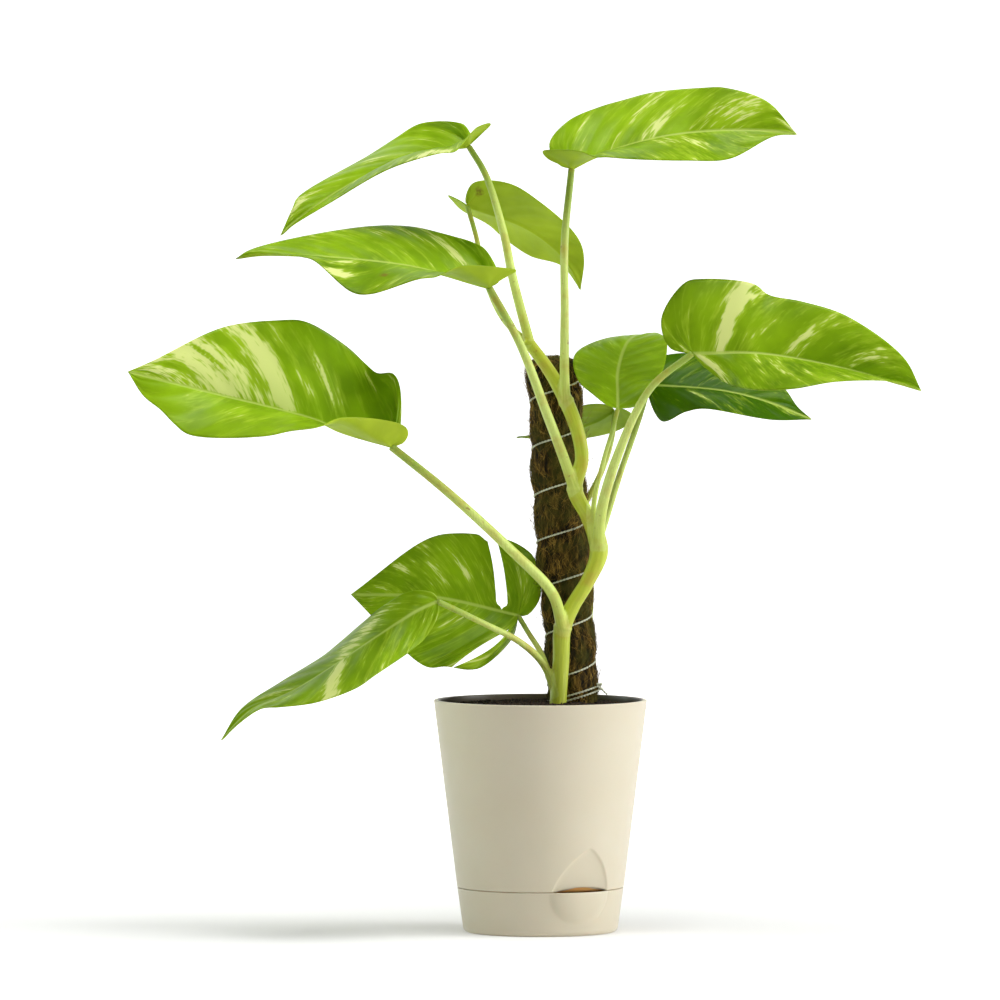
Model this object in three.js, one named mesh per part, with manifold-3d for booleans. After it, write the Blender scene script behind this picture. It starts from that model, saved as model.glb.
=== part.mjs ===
// A golden pothos in a self-watering pot, climbing a pole of coconut fibre.
// Millimetres, +Z up. The origin is the middle of the tray's underside, and the front faces -Y.
import * as THREE from 'three';
import { mergeVertices } from 'three/addons/utils/BufferGeometryUtils.js';
import Module from 'manifold-3d';

// The gap between neighbours, the depth to which fused shapes reach into each other, and the run of
// a cut past the surface that it opens.
const GAP = 0.3;
const FUSE = 0.5;
const OVERRUN = 1;

const POT = {
  height: 136,
  rimRadius: 62.5,
  seamHeight: 26,
  seamRadius: 48.75,
  wall: 2.2,
  rimChamfer: 0.8,
  rimBead: 0.9,
  beadDepth: 5,
  floor: 2.4,
  floorFillet: 2,
  sides: 48,
};

const TRAY = {
  footRadius: 45.6,
  footHeight: 4,
  footFillet: 3,
  wall: 2,
  floor: 2.2,
  floorFillet: 3,
  floorCurveTop: 5.5,
};

// The pot's bottom plugs into the tray with a collar, and reaches down with a slotted wicking foot.
const COLLAR = { depth: 8, wall: 2, clearance: 0.5 };
const WICK = {
  topRadius: 17,
  bottomRadius: 14,
  wall: 2,
  slots: 6,
  slotWidth: 3,
  slotTop: 20,
  slotBottom: 7,
  sides: 24,
};
const DRAIN = { holes: 8, radius: 2.2, circle: 31, sides: 8 };

// The watering mouth stands a little to the right of the front.
const MOUTH = {
  angle: -60,
  dentDepth: 3.1,
  dentHalfWidth: 40,
  dentHeight: 26,
  lipInset: 6,
  lipReach: 2.6,
  lipHalfWidth: 19.5,
  lipDepth: 20,
  notchWidth: 34,
  notchLength: 20,
  sides: 24,
  rings: 14,
};

const SOIL = {
  edgeHeight: 131.5,
  crownHeight: 134.5,
  edgeGap: 0.4,
  crumb: 0.9,
  crumbFade: 8,
  rings: 7,
  sides: 30,
};

const POLE = {
  bottom: [25, 8, 36],
  top: [6.6, 8, 337],
  radius: 14.6,
  topRadius: 15.6,
  lumps: [0.45, 0.4],
  soilLine: 134,
  buried: 12,
  buriedStep: 22,
  ringStep: 5.8,
  shoulder: 7,
  sides: 16,
  coreRadius: 6,
  coreBelow: 4,
  coreStop: 12,
};

const THREAD = {
  radius: 0.6,
  lift: 1.35,
  pinch: 1.7,
  pinchHeight: 5,
  pitch: 27.6,
  frontHeight: 234.3,
  startAbove: 7,
  stopBelow: 12,
  closeTurns: 0.75,
  closePitch: 5,
  sides: 4,
};

// Each blade is given by its rib, from the stalk to the tip, and by the margins of its left and right
// halves, looking from the stalk to the tip with the upper face up. lobes are the shares of the two
// margins that run round the basal lobes, cups say how far a folded lobe is hollowed, and sweeps how
// late the side veins bend forward. side 0 of a split is the left half.
const LEAVES = {
  top_right: {
    rib: [
      [18, -20, 447], [32, -21, 454], [64, -24, 464], [99, -28, 469], [133, -32, 469], [149, -34, 467],
    ],
    left: [
      [18, -20, 447], [11, -19, 449], [5, -16, 461], [15, -9, 474], [35, 10, 483], [49, 13, 487],
      [64, 9, 491], [94, -10, 494], [108, -20, 494], [132, -28, 486], [149, -34, 467],
    ],
    right: [
      [18, -20, 447], [4, -23, 453], [1, -25, 457], [7, -32, 458], [24, -54, 457], [31, -61, 454],
      [38, -66, 454], [51, -67, 453], [84, -57, 452], [110, -43, 453], [136, -35, 466], [149, -34, 467],
    ],
    cups: [0, 0.12],
  },
  top_left: {
    rib: [[-42, 8, 460], [-68, 7, 457], [-82, 6, 453], [-116, 2, 435], [-142, -3, 417], [-152, -6, 408]],
    left: [
      [-42, 8, 460], [-29, 2, 473], [-37, -8, 471], [-45, -23, 462], [-50, -28, 457], [-59, -32, 456],
      [-88, -29, 447], [-123, -13, 427], [-146, -6, 413], [-152, -6, 408],
    ],
    right: [
      [-42, 8, 460], [-40, 9, 463], [-44, 11, 472], [-49, 13, 474], [-71, 32, 473], [-86, 41, 464],
      [-100, 40, 455], [-142, 4, 430], [-145, -1, 424], [-152, -6, 408],
    ],
  },
  top_back: {
    rib: [[-43, 28, 425], [-9, 43, 412], [10, 53, 398], [18, 57, 388], [24, 62, 375]],
    left: [
      [-43, 28, 425], [-54, 33, 431], [-51, 42, 427], [-46, 54, 422], [-30, 73, 413], [-22, 76, 406],
      [-6, 73, 395], [13, 67, 389], [24, 62, 375],
    ],
    right: [
      [-43, 28, 425], [-44, 27, 428], [-40, 24, 438], [-18, 8, 438], [0, 14, 427], [22, 42, 406],
      [26, 55, 393], [24, 62, 375],
    ],
  },
  upper_left: {
    rib: [[-30, -38, 378], [-79, -42, 391], [-159, -49, 397], [-177, -50, 395]],
    left: [
      [-30, -38, 378], [-23, -39, 384], [-14, -43, 388], [-24, -52, 390], [-47, -74, 391],
      [-61, -87, 385], [-70, -89, 384], [-99, -80, 375], [-109, -77, 376], [-131, -66, 394],
      [-137, -62, 396], [-166, -52, 398], [-177, -50, 395],
    ],
    right: [
      [-30, -38, 378], [-24, -37, 382], [-32, -32, 400], [-39, -27, 404], [-57, -7, 409], [-76, 0, 413],
      [-103, -9, 413], [-169, -48, 400], [-177, -50, 395],
    ],
    cups: [0.15, 0],
  },
  left: {
    rib: [[-87, -48, 286], [-117, -50, 295], [-130, -52, 301], [-189, -60, 317], [-239, -70, 330]],
    left: [
      [-87, -48, 286], [-80, -49, 288], [-77, -50, 293], [-79, -55, 298], [-115, -96, 304],
      [-129, -112, 299], [-144, -113, 297], [-159, -111, 294], [-203, -84, 294], [-212, -77, 300],
      [-220, -73, 308], [-230, -71, 316], [-239, -70, 330],
    ],
    right: [
      [-87, -48, 286], [-83, -47, 290], [-82, -39, 321], [-86, -34, 328], [-95, -26, 328],
      [-102, -18, 333], [-113, -15, 343], [-137, -30, 358], [-153, -40, 359], [-185, -51, 355],
      [-225, -66, 336], [-239, -70, 330],
    ],
    cups: [0.18, 0],
  },
  right: {
    rib: [[88, -48, 340], [127, -55, 340], [173, -63, 332], [220, -70, 319]],
    left: [
      [88, -48, 340], [75, -46, 343], [70, -42, 360], [84, -37, 381], [94, -36, 383], [124, -39, 380],
      [132, -40, 374], [152, -49, 370], [177, -56, 362], [210, -66, 338], [220, -70, 319],
    ],
    right: [
      [88, -48, 340], [94, -50, 333], [106, -58, 324], [121, -83, 320], [145, -102, 321], [170, -98, 325],
      [207, -77, 324], [220, -70, 319],
    ],
    lobes: [0.2, 0],
  },
  right_lower: {
    rib: [[64, 20, 320], [109, 18, 316], [133, 15, 310], [159, 10, 300]],
    left: [
      [64, 20, 320], [61, 21, 322], [63, 24, 329], [71, 32, 336], [88, 42, 338], [110, 42, 336],
      [142, 22, 319], [151, 14, 307], [159, 10, 300],
    ],
    right: [
      [64, 20, 320], [64, 19, 312], [71, 12, 299], [85, -8, 305], [95, -14, 307], [136, 1, 300],
      [159, 10, 300],
    ],
  },
  right_small: {
    rib: [[45, -24, 307], [45, -17, 317], [45, -7, 327], [50, 17, 343], [55, 30, 348], [62, 44, 349]],
    left: [
      [45, -24, 307], [39, -25, 309], [30, -25, 316], [23, -19, 322], [19, -4, 333], [22, 10, 340],
      [39, 30, 347], [62, 44, 349],
    ],
    right: [
      [45, -24, 307], [56, -23, 309], [63, -17, 321], [68, -10, 324], [72, 1, 330], [74, 25, 346],
      [68, 38, 350], [62, 44, 349],
    ],
    lobes: [0, 0],
  },
  behind_pole: {
    rib: [[44, 44, 304], [32, 50, 297], [4, 57, 289], [-14, 58, 288]],
    left: [
      [44, 44, 304], [42, 40, 306], [37, 35, 308], [24, 26, 307], [18, 25, 302], [0, 38, 291],
      [-14, 58, 288],
    ],
    right: [
      [44, 44, 304], [48, 47, 305], [55, 61, 300], [52, 69, 295], [42, 76, 290], [21, 80, 286],
      [5, 75, 286], [-14, 58, 288],
    ],
  },
  low_back: {
    rib: [[-13, 4, 185], [-61, -2, 196], [-111, -8, 198]],
    left: [
      [-13, 4, 185], [-16, 1, 173], [-35, -23, 156], [-42, -28, 155], [-55, -29, 157], [-68, -21, 157],
      [-111, -8, 198],
    ],
    right: [
      [-13, 4, 185], [-8, 5, 185], [0, 8, 196], [-3, 18, 217], [-7, 23, 222], [-18, 26, 228],
      [-48, 12, 233], [-66, 6, 230], [-111, -8, 198],
    ],
    lobes: [0.45, 0.34],
    sweeps: [1.4, 1.25],
    splits: [
      { side: 1, at: 0.32, from: 0.03, width: 7 },
      { side: 0, at: 0.205, from: 0.25, to: 1.04, width: 7 },
    ],
  },
  low_front: {
    rib: [[-60, -48, 196], [-73, -52, 190], [-142, -70, 146], [-168, -75, 134], [-185, -78, 117]],
    left: [
      [-60, -48, 196], [-59, -49, 190], [-67, -54, 175], [-75, -61, 168], [-96, -89, 155],
      [-107, -97, 148], [-130, -99, 140], [-151, -93, 137], [-161, -89, 136], [-172, -83, 129],
      [-185, -78, 117],
    ],
    right: [
      [-60, -48, 196], [-61, -47, 200], [-74, -45, 202], [-91, -35, 193], [-104, -22, 182],
      [-118, -23, 170], [-127, -29, 163], [-151, -47, 149], [-174, -68, 134], [-185, -78, 117],
    ],
    lobes: [0, 0],
  },
};

// Stems and stalks as points on their middle line with the radius there.
const MAIN_STEM = [
  [9, -13, 72, 4.6], [10, -14, 130, 5], [12, -13, 160, 4.9], [13, -13, 179, 5.3], [19, -14, 192, 4.4],
  [28, -15, 207, 4.3], [34, -14, 222, 5.4], [33, -13, 231, 5.4], [27, -14, 245, 4.3], [20, -15, 260, 4.7],
  [24, -15, 277, 4.1], [22, -15, 292, 4.1], [15, -14, 311, 4.4], [5, -13, 329, 3.8], [-8, -13, 347, 3.4],
];
const MAIN_STALKS = {
  top_right: [
    [15, -14, 308, 3], [14, -19, 325, 2.9], [14, -23, 365, 2.5], [14, -23, 405, 2.3], [18, -20, 447, 2],
  ],
  top_left: [
    [-6, -13, 344, 3], [-16, -10, 382, 2.7], [-22, -5, 411, 2.4], [-32, 4, 443, 2], [-42, 8, 460, 1.8],
  ],
  top_back: [
    [-8, -12, 346, 2], [-21, 0, 358, 1.8], [-31, 14, 378, 1.6], [-38, 25, 408, 1.5], [-43, 28, 425, 1.5],
  ],
  upper_left: [
    [20, -15, 258, 3.3], [15, -20, 274, 3.2], [3, -29, 306, 2.9], [-12, -36, 345, 2.5], [-30, -38, 378, 2.2],
  ],
  left: [
    [13, -14, 177, 3.5], [7, -25, 199, 3.3], [-18, -39, 226, 2.9], [-56, -47, 261, 2.6], [-87, -48, 286, 2.3],
  ],
  right: [
    [34, -14, 225, 3.5], [35, -24, 245, 3.4], [45, -36, 281, 2.8], [64, -46, 320, 2.2], [88, -48, 340, 2],
  ],
  right_small: [
    [33, -13, 228, 1.8], [31, -19, 250, 1.6], [37, -23, 278, 1.4], [42, -24, 295, 1.3], [45, -24, 307, 1.3],
  ],
  low_back: [
    [9, -12, 138, 2.4], [4, -8, 153, 2.2], [0, -2, 164, 1.8], [-7, 2, 175, 1.6], [-13, 4, 185, 1.6],
  ],
  low_front: [
    [9, -14, 140, 2.4], [2, -14, 157, 2.3], [-12, -26, 171, 2], [-32, -38, 182, 1.8], [-60, -48, 196, 1.8],
  ],
};
const BACK_STEM = [
  [27, 29, 76, 3.6], [28, 30, 130, 3.9], [27, 30, 170, 3.7], [27, 31, 208, 4.4], [24, 30, 226, 3.5],
  [22, 29, 246, 4], [20, 29, 262, 2.6], [18, 29, 276, 1.2],
];
const BACK_STALKS = {
  right_lower: [
    [27, 30, 206, 2.6], [37, 27, 236, 2.2], [47, 22, 268, 1.9], [58, 20, 300, 1.7], [64, 20, 320, 1.6],
  ],
  behind_pole: [
    [22, 29, 244, 2.2], [31, 32, 258, 1.9], [39, 37, 276, 1.7], [43, 41, 292, 1.6], [44, 44, 304, 1.5],
  ],
};
const STEM_SIDES = 9;
const STEM_STEPS = 30;
const STALK_SIDES = 6;
const STALK_STEPS = 9;
const STALK_TRIM = 0.002;

const BLADE = {
  thickness: 0.8,
  ribHeight: 0.9,
  ribTaper: 0.8,
  lobe: 0.2,
  fan: 1.2,
  sweep: 1.25,
  spread: 0.95,
  crown: 0.05,
  splitReach: 0.09,
  splitTaper: 0.08,
  rows: 20,
  rowAtBank: 0.035,
  sharpEar: 50,
  leastStep: 1.8,
  columns: [0, 0.08, 0.4, 0.72, 1],
};

const LOOKS = {
  pot: { color: 0xd9ccb4, roughness: 0.45, metalness: 0 },
  tray: { color: 0xdccfb8, roughness: 0.45, metalness: 0 },
  soil: { color: 0x2a1d14, roughness: 0.95, metalness: 0 },
  coir: { color: 0x4a3519, roughness: 0.95, metalness: 0 },
  core: { color: 0xa88f66, roughness: 0.7, metalness: 0 },
  thread: { color: 0xcfd3b4, roughness: 0.6, metalness: 0 },
  stem: { color: 0xa3b934, roughness: 0.5, metalness: 0 },
  blade: { color: 0x669f14, roughness: 0.4, metalness: 0 },
};

const wasm = await Module();
wasm.setup();

const vector = (point) => new THREE.Vector3(point[0], point[1], point[2]);
const radians = THREE.MathUtils.degToRad;
const smooth = (x) => THREE.MathUtils.smoothstep(x, 0, 1);
const smoothLine = (points) => new THREE.CatmullRomCurve3(points.map(vector), false, 'centripetal');

// Vertices are merged, faces without area dropped, and faces turned outwards.
function solid(geometry) {
  geometry.deleteAttribute('normal');
  geometry.deleteAttribute('uv');
  const merged = mergeVertices(geometry, 1e-4);
  const places = merged.attributes.position;
  const faces = [];
  let volume = 0;
  for (let i = 0; i < merged.index.count; i += 3) {
    const [a, b, c] = [0, 1, 2].map((k) => merged.index.getX(i + k));
    if (a === b || b === c || c === a) continue;
    const [p, q, r] = [a, b, c].map((k) => new THREE.Vector3().fromBufferAttribute(places, k));
    volume += p.dot(q.cross(r));
    faces.push([a, b, c]);
  }
  const triVerts = new Uint32Array(faces.flatMap(([a, b, c]) => (volume < 0 ? [a, c, b] : [a, b, c])));
  const vertProperties = new Float32Array(places.array);
  return new wasm.Manifold(new wasm.Mesh({ numProp: 3, vertProperties, triVerts }));
}

function geometryOf(manifold) {
  const mesh = manifold.getMesh();
  const geometry = new THREE.BufferGeometry();
  geometry.setAttribute('position', new THREE.BufferAttribute(new Float32Array(mesh.vertProperties), 3));
  geometry.setIndex(new THREE.BufferAttribute(new Uint32Array(mesh.triVerts), 1));
  geometry.computeVertexNormals();
  return geometry;
}

function joined(solids) {
  return solids.reduce((whole, next) => whole.add(next));
}

// The largest of the bodies that a cut leaves.
function largest(manifold) {
  return manifold.decompose().sort((a, b) => b.volume() - a.volume())[0];
}

function turned(profile, sides) {
  const points = profile.map(([radius, height]) => new THREE.Vector2(radius, height));
  return solid(new THREE.LatheGeometry(points, sides).rotateX(Math.PI / 2));
}

function upright(radius, bottom, top, sides) {
  const cylinder = new THREE.CylinderGeometry(radius, radius, top - bottom, sides);
  return solid(cylinder.rotateX(Math.PI / 2).translate(0, 0, (bottom + top) / 2));
}

// A closed skin over a stack of rings, with a point at each end.
function skin(rings, start, end) {
  const sides = rings[0].length;
  const points = [start, ...rings.flat(), end];
  const last = points.length - 1;
  const faces = [];
  for (let k = 0; k < sides; k += 1) {
    const next = (k + 1) % sides;
    faces.push([0, 1 + next, 1 + k]);
    faces.push([last, last - sides + k, last - sides + next]);
    for (let i = 0; i + 1 < rings.length; i += 1) {
      const [a, b] = [1 + i * sides + k, 1 + i * sides + next];
      faces.push([a, b, b + sides], [a, b + sides, a + sides]);
    }
  }
  const geometry = new THREE.BufferGeometry().setFromPoints(points);
  geometry.setIndex(faces.flat());
  return solid(geometry);
}

// A stem or stalk: a smooth line through the points, with the radius running evenly between them.
// reach is the share of the line that it follows.
function stalk(points, sides, steps, extra = 0, reach = 1) {
  const path = smoothLine(points);
  const frames = path.computeFrenetFrames(steps, false);
  const rings = [];
  for (let i = 0; i <= steps; i += 1) {
    const middle = path.getPointAt((reach * i) / steps);
    const place = path.getUtoTmapping((reach * i) / steps) * (points.length - 1);
    const from = Math.min(Math.floor(place), points.length - 2);
    const radius = THREE.MathUtils.lerp(points[from][3], points[from + 1][3], place - from) + extra;
    const ring = [];
    for (let k = 0; k < sides; k += 1) {
      const angle = (2 * Math.PI * k) / sides;
      const out = frames.normals[i].clone().multiplyScalar(radius * Math.cos(angle));
      ring.push(middle.clone().add(out).addScaledVector(frames.binormals[i], radius * Math.sin(angle)));
    }
    rings.push(ring);
  }
  return skin(rings, path.getPointAt(0), path.getPointAt(reach));
}

// The pot's outer radius at a height above the seam.
function potRadius(z) {
  const share = (z - POT.seamHeight) / (POT.height - POT.seamHeight);
  return THREE.MathUtils.lerp(POT.seamRadius, POT.rimRadius, share);
}

// The tray's inner radius at a height above its curved foot.
function trayInside(z) {
  const share = (z - TRAY.floorCurveTop) / (POT.seamHeight - TRAY.floorCurveTop);
  return THREE.MathUtils.lerp(TRAY.footRadius, POT.seamRadius, share) - TRAY.wall;
}

// An ellipsoid at the watering mouth: half sizes round, out and up, set out from the seam's radius.
function mouthBall(halfWidth, reach, halfHeight, offset, lean) {
  const ball = new THREE.SphereGeometry(1, MOUTH.sides, MOUTH.rings);
  ball.scale(reach, halfWidth, halfHeight);
  ball.rotateY(lean);
  ball.translate(POT.seamRadius + offset, 0, POT.seamHeight);
  return solid(ball.rotateZ(radians(MOUTH.angle)));
}

function dent(extra) {
  const lean = Math.atan((POT.rimRadius - POT.seamRadius) / (POT.height - POT.seamHeight));
  const { dentHalfWidth, dentDepth, dentHeight } = MOUTH;
  return mouthBall(dentHalfWidth + extra, dentDepth + extra, dentHeight + extra, 0, lean);
}

const potFloorTop = POT.seamHeight + GAP + POT.floor;
const wickBottom = TRAY.floor + 1;

function pot() {
  const bottom = POT.seamHeight + GAP;
  const beadBottom = POT.height - POT.beadDepth;
  const inner = (z) => potRadius(z) - POT.wall;
  const outside = turned([
    [0, bottom],
    [potRadius(bottom), bottom],
    [potRadius(POT.height - POT.rimChamfer), POT.height - POT.rimChamfer],
    [potRadius(POT.height) - POT.rimChamfer, POT.height],
    [0, POT.height],
  ], POT.sides);
  const cavity = turned([
    [0, potFloorTop],
    [inner(potFloorTop) - POT.floorFillet, potFloorTop],
    [inner(potFloorTop + POT.floorFillet), potFloorTop + POT.floorFillet],
    [inner(beadBottom), beadBottom],
    [inner(beadBottom + POT.rimBead) - POT.rimBead, beadBottom + POT.rimBead],
    [inner(POT.height) - POT.rimBead, POT.height + OVERRUN],
    [0, POT.height + OVERRUN],
  ], POT.sides);
  const collarTop = trayInside(POT.seamHeight) - COLLAR.clearance;
  const collarFoot = bottom - COLLAR.depth;
  const collarEdge = trayInside(collarFoot) - COLLAR.clearance;
  const collar = turned([
    [collarTop - COLLAR.wall, bottom + FUSE],
    [collarEdge - COLLAR.wall, collarFoot],
    [collarEdge, collarFoot],
    [collarTop, POT.seamHeight],
    [collarTop, bottom + FUSE],
    [collarTop - COLLAR.wall, bottom + FUSE],
  ], POT.sides);
  const wick = turned([
    [0, wickBottom],
    [WICK.bottomRadius, wickBottom],
    [WICK.topRadius, bottom + FUSE],
    [0, bottom + FUSE],
  ], WICK.sides);
  const wickInside = turned([
    [0, wickBottom + WICK.wall],
    [WICK.bottomRadius - WICK.wall, wickBottom + WICK.wall],
    [WICK.topRadius - WICK.wall, potFloorTop + OVERRUN],
    [0, potFloorTop + OVERRUN],
  ], WICK.sides);
  const cuts = [wickInside];
  for (let i = 0; i < WICK.slots; i += 1) {
    const { topRadius, slotWidth, slotTop, slotBottom } = WICK;
    const slot = new THREE.BoxGeometry(2 * topRadius, slotWidth, slotTop - slotBottom);
    slot.translate(topRadius, 0, (slotTop + slotBottom) / 2);
    cuts.push(solid(slot.rotateZ((2 * Math.PI * i) / WICK.slots)));
  }
  for (let i = 0; i < DRAIN.holes; i += 1) {
    const angle = (2 * Math.PI * (i + 0.5)) / DRAIN.holes;
    const hole = upright(DRAIN.radius, bottom - OVERRUN, potFloorTop + OVERRUN, DRAIN.sides);
    cuts.push(hole.translate([DRAIN.circle * Math.cos(angle), DRAIN.circle * Math.sin(angle), 0]));
  }
  const notchHeight = COLLAR.depth + 2 * OVERRUN;
  const notch = new THREE.BoxGeometry(MOUTH.notchLength, MOUTH.notchWidth, notchHeight);
  notch.translate(POT.seamRadius, 0, bottom - notchHeight / 2);
  cuts.push(solid(notch.rotateZ(radians(MOUTH.angle))));
  const shell = outside.add(collar).add(wick).subtract(cavity.subtract(dent(POT.wall)));
  return shell.subtract(dent(0)).subtract(joined(cuts));
}

function reservoirTray() {
  const { footRadius, footHeight, footFillet, wall, floor, floorFillet, floorCurveTop } = TRAY;
  const outline = [[0, 0]];
  for (let i = 0; i <= 4; i += 1) {
    const angle = (Math.PI / 8) * i;
    const radius = footRadius - footFillet + footFillet * Math.sin(angle);
    outline.push([radius, footHeight * (1 - Math.cos(angle))]);
  }
  outline.push([POT.seamRadius, POT.seamHeight], [0, POT.seamHeight]);
  const outside = turned(outline, POT.sides);
  const inside = turned([
    [0, floor],
    [footRadius - wall - floorFillet, floor],
    [footRadius - wall, floorCurveTop],
    [trayInside(POT.seamHeight), POT.seamHeight],
    [trayInside(POT.seamHeight), POT.seamHeight + OVERRUN],
    [0, POT.seamHeight + OVERRUN],
  ], POT.sides);
  const { lipInset, lipReach, lipHalfWidth, lipDepth } = MOUTH;
  const lip = mouthBall(lipHalfWidth, lipInset + lipReach, lipDepth, -lipInset, 0);
  const mouth = mouthBall(lipHalfWidth - wall, lipInset + lipReach - wall, lipDepth - wall, -lipInset, 0);
  const above = upright(POT.rimRadius, POT.seamHeight, POT.seamHeight + 2 * lipDepth, WICK.sides);
  return outside.add(lip.subtract(above)).subtract(inside).subtract(mouth);
}

// The mix fills the pot and the wicking foot, with a crumbly crown and holes for what stands in it.
function pottingMix(standing) {
  const inner = (z) => potRadius(z) - POT.wall - GAP;
  const rim = SOIL.edgeHeight;
  const edge = inner(rim) - POT.rimBead - SOIL.edgeGap;
  const underBead = POT.height - POT.beadDepth - POT.rimBead;
  const footBottom = wickBottom + WICK.wall + GAP;
  const profile = [
    [0, footBottom],
    [WICK.bottomRadius - WICK.wall - GAP, footBottom],
    [WICK.topRadius - WICK.wall - GAP - SOIL.edgeGap, potFloorTop + GAP],
    [inner(potFloorTop) - POT.floorFillet - SOIL.edgeGap, potFloorTop + GAP],
    [inner(potFloorTop + POT.floorFillet), potFloorTop + POT.floorFillet + SOIL.edgeGap],
    [inner(underBead), underBead],
    [edge, rim],
  ];
  for (let i = 1; i <= SOIL.rings; i += 1) {
    const share = 1 - i / SOIL.rings;
    profile.push([edge * share, THREE.MathUtils.lerp(SOIL.crownHeight, rim, share * share)]);
  }
  const points = profile.map(([radius, height]) => new THREE.Vector2(radius, height));
  const body = new THREE.LatheGeometry(points, SOIL.sides).rotateX(Math.PI / 2);
  const places = body.attributes.position;
  for (let i = 0; i < places.count; i += 1) {
    const [x, y, z] = [places.getX(i), places.getY(i), places.getZ(i)];
    const inside = smooth((inner(rim) - Math.hypot(x, y)) / SOIL.crumbFade);
    const crumb = Math.sin(0.31 * x + 1.3) * Math.cos(0.37 * y) + Math.sin(0.83 * x - 0.7 * y);
    if (z > rim) places.setZ(i, z + SOIL.crumb * crumb * inside);
  }
  return largest(solid(body).subtract(dent(POT.wall + GAP)).subtract(joined(standing)));
}

// Places on the pole: its middle line, the height of the thread at an angle, and the fibre's surface.
function poleMiddle(z) {
  const share = (z - POLE.bottom[2]) / (POLE.top[2] - POLE.bottom[2]);
  return vector(POLE.bottom).lerp(vector(POLE.top), share);
}

function threadHeight(turns) {
  return THREAD.frontHeight + THREAD.pitch * (turns + 0.25);
}

function poleRadius(angle, z) {
  const share = smooth((z - POLE.soilLine) / 100);
  const [coarse, fine] = POLE.lumps;
  const lumps = coarse * Math.sin(3 * angle + 0.045 * z) + fine * Math.sin(2 * angle - 0.11 * z);
  const turns = angle / (2 * Math.PI);
  const nearest = Math.round((z - threadHeight(turns)) / THREAD.pitch);
  const away = (z - threadHeight(turns + nearest)) / THREAD.pinchHeight;
  const bound = z > POLE.soilLine - POLE.buried ? THREAD.pinch * Math.exp(-away * away) : 0;
  return THREE.MathUtils.lerp(POLE.radius, POLE.topRadius, share) + lumps - bound;
}

function ringRound(middle, radiusAt) {
  const ring = [];
  for (let k = 0; k < POLE.sides; k += 1) {
    const angle = (2 * Math.PI * k) / POLE.sides;
    const radius = radiusAt(angle);
    ring.push(new THREE.Vector3(radius * Math.cos(angle), radius * Math.sin(angle), 0).add(middle));
  }
  return ring;
}

function poleRing(z, scale) {
  return ringRound(poleMiddle(z), (angle) => poleRadius(angle, z) * scale);
}

function poleBore(radius, bottom, top) {
  const ends = [poleMiddle(bottom), poleMiddle(top)];
  return skin(ends.map((middle) => ringRound(middle, () => radius)), ends[0], ends[1]);
}

function coirSleeve() {
  const [low, high] = [POLE.bottom[2], POLE.top[2]];
  const fineFrom = POLE.soilLine - POLE.buried;
  const fineTo = high - POLE.shoulder;
  const rings = [];
  for (let z = low; z < fineFrom; z += POLE.buriedStep) rings.push(poleRing(z, 1));
  const count = Math.round((fineTo - fineFrom) / POLE.ringStep);
  for (let i = 0; i <= count; i += 1) {
    rings.push(poleRing(THREE.MathUtils.lerp(fineFrom, fineTo, i / count), 1));
  }
  for (const share of [0.45, 0.8]) {
    rings.push(poleRing(fineTo + POLE.shoulder * share, Math.sqrt(1 - share * share)));
  }
  const body = skin(rings, poleMiddle(low), poleMiddle(high));
  return body.subtract(poleBore(POLE.coreRadius + GAP, low - OVERRUN, high - POLE.coreStop + GAP));
}

function poleCore() {
  return poleBore(POLE.coreRadius, POLE.bottom[2] - POLE.coreBelow, POLE.top[2] - POLE.coreStop);
}

// A pale twine wound round the fibre, with its last turns close together at the soil.
function bindingThread() {
  const { pitch, closeTurns, closePitch } = THREAD;
  const start = (POLE.soilLine + THREAD.startAbove - threadHeight(0)) / pitch;
  const end = (POLE.top[2] - THREAD.stopBelow - threadHeight(0)) / pitch;
  const points = [];
  const total = Math.round((end - start + closeTurns) * POLE.sides);
  for (let i = 0; i <= total; i += 1) {
    const turns = start - closeTurns + i / POLE.sides;
    const below = Math.max(0, start - turns);
    const z = threadHeight(turns + below) - closePitch * below;
    const angle = 2 * Math.PI * turns;
    const held = below > 0 ? THREAD.pinch * smooth(below / 0.2) : 0;
    const radius = poleRadius(angle, z) + THREAD.lift + held;
    const out = new THREE.Vector3(radius * Math.cos(angle), radius * Math.sin(angle), 0);
    points.push(out.add(poleMiddle(z)));
  }
  const rings = points.map((point, i) => {
    const along = points[Math.min(i + 1, total)].clone().sub(points[Math.max(i - 1, 0)]).normalize();
    const out = point.clone().sub(poleMiddle(point.z)).setZ(0).normalize();
    const across = along.clone().cross(out).normalize();
    const ring = [];
    for (let k = 0; k < THREAD.sides; k += 1) {
      const angle = (2 * Math.PI * (k + 0.5)) / THREAD.sides;
      const side = out.clone().multiplyScalar(THREAD.radius * Math.cos(angle));
      ring.push(point.clone().add(side).addScaledVector(across, THREAD.radius * Math.sin(angle)));
    }
    return ring;
  });
  return skin(rings, points[0], points[total]);
}

// The share of the margin's length that a side vein reaches. The places up to BLADE.lobe go round the
// basal lobe.
function onMargin(place, lobe) {
  const share = place < BLADE.lobe
    ? (place / BLADE.lobe) * lobe
    : lobe + ((1 - lobe) * (place - BLADE.lobe)) / (1 - BLADE.lobe);
  return THREE.MathUtils.clamp(share, 0, 1);
}

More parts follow.
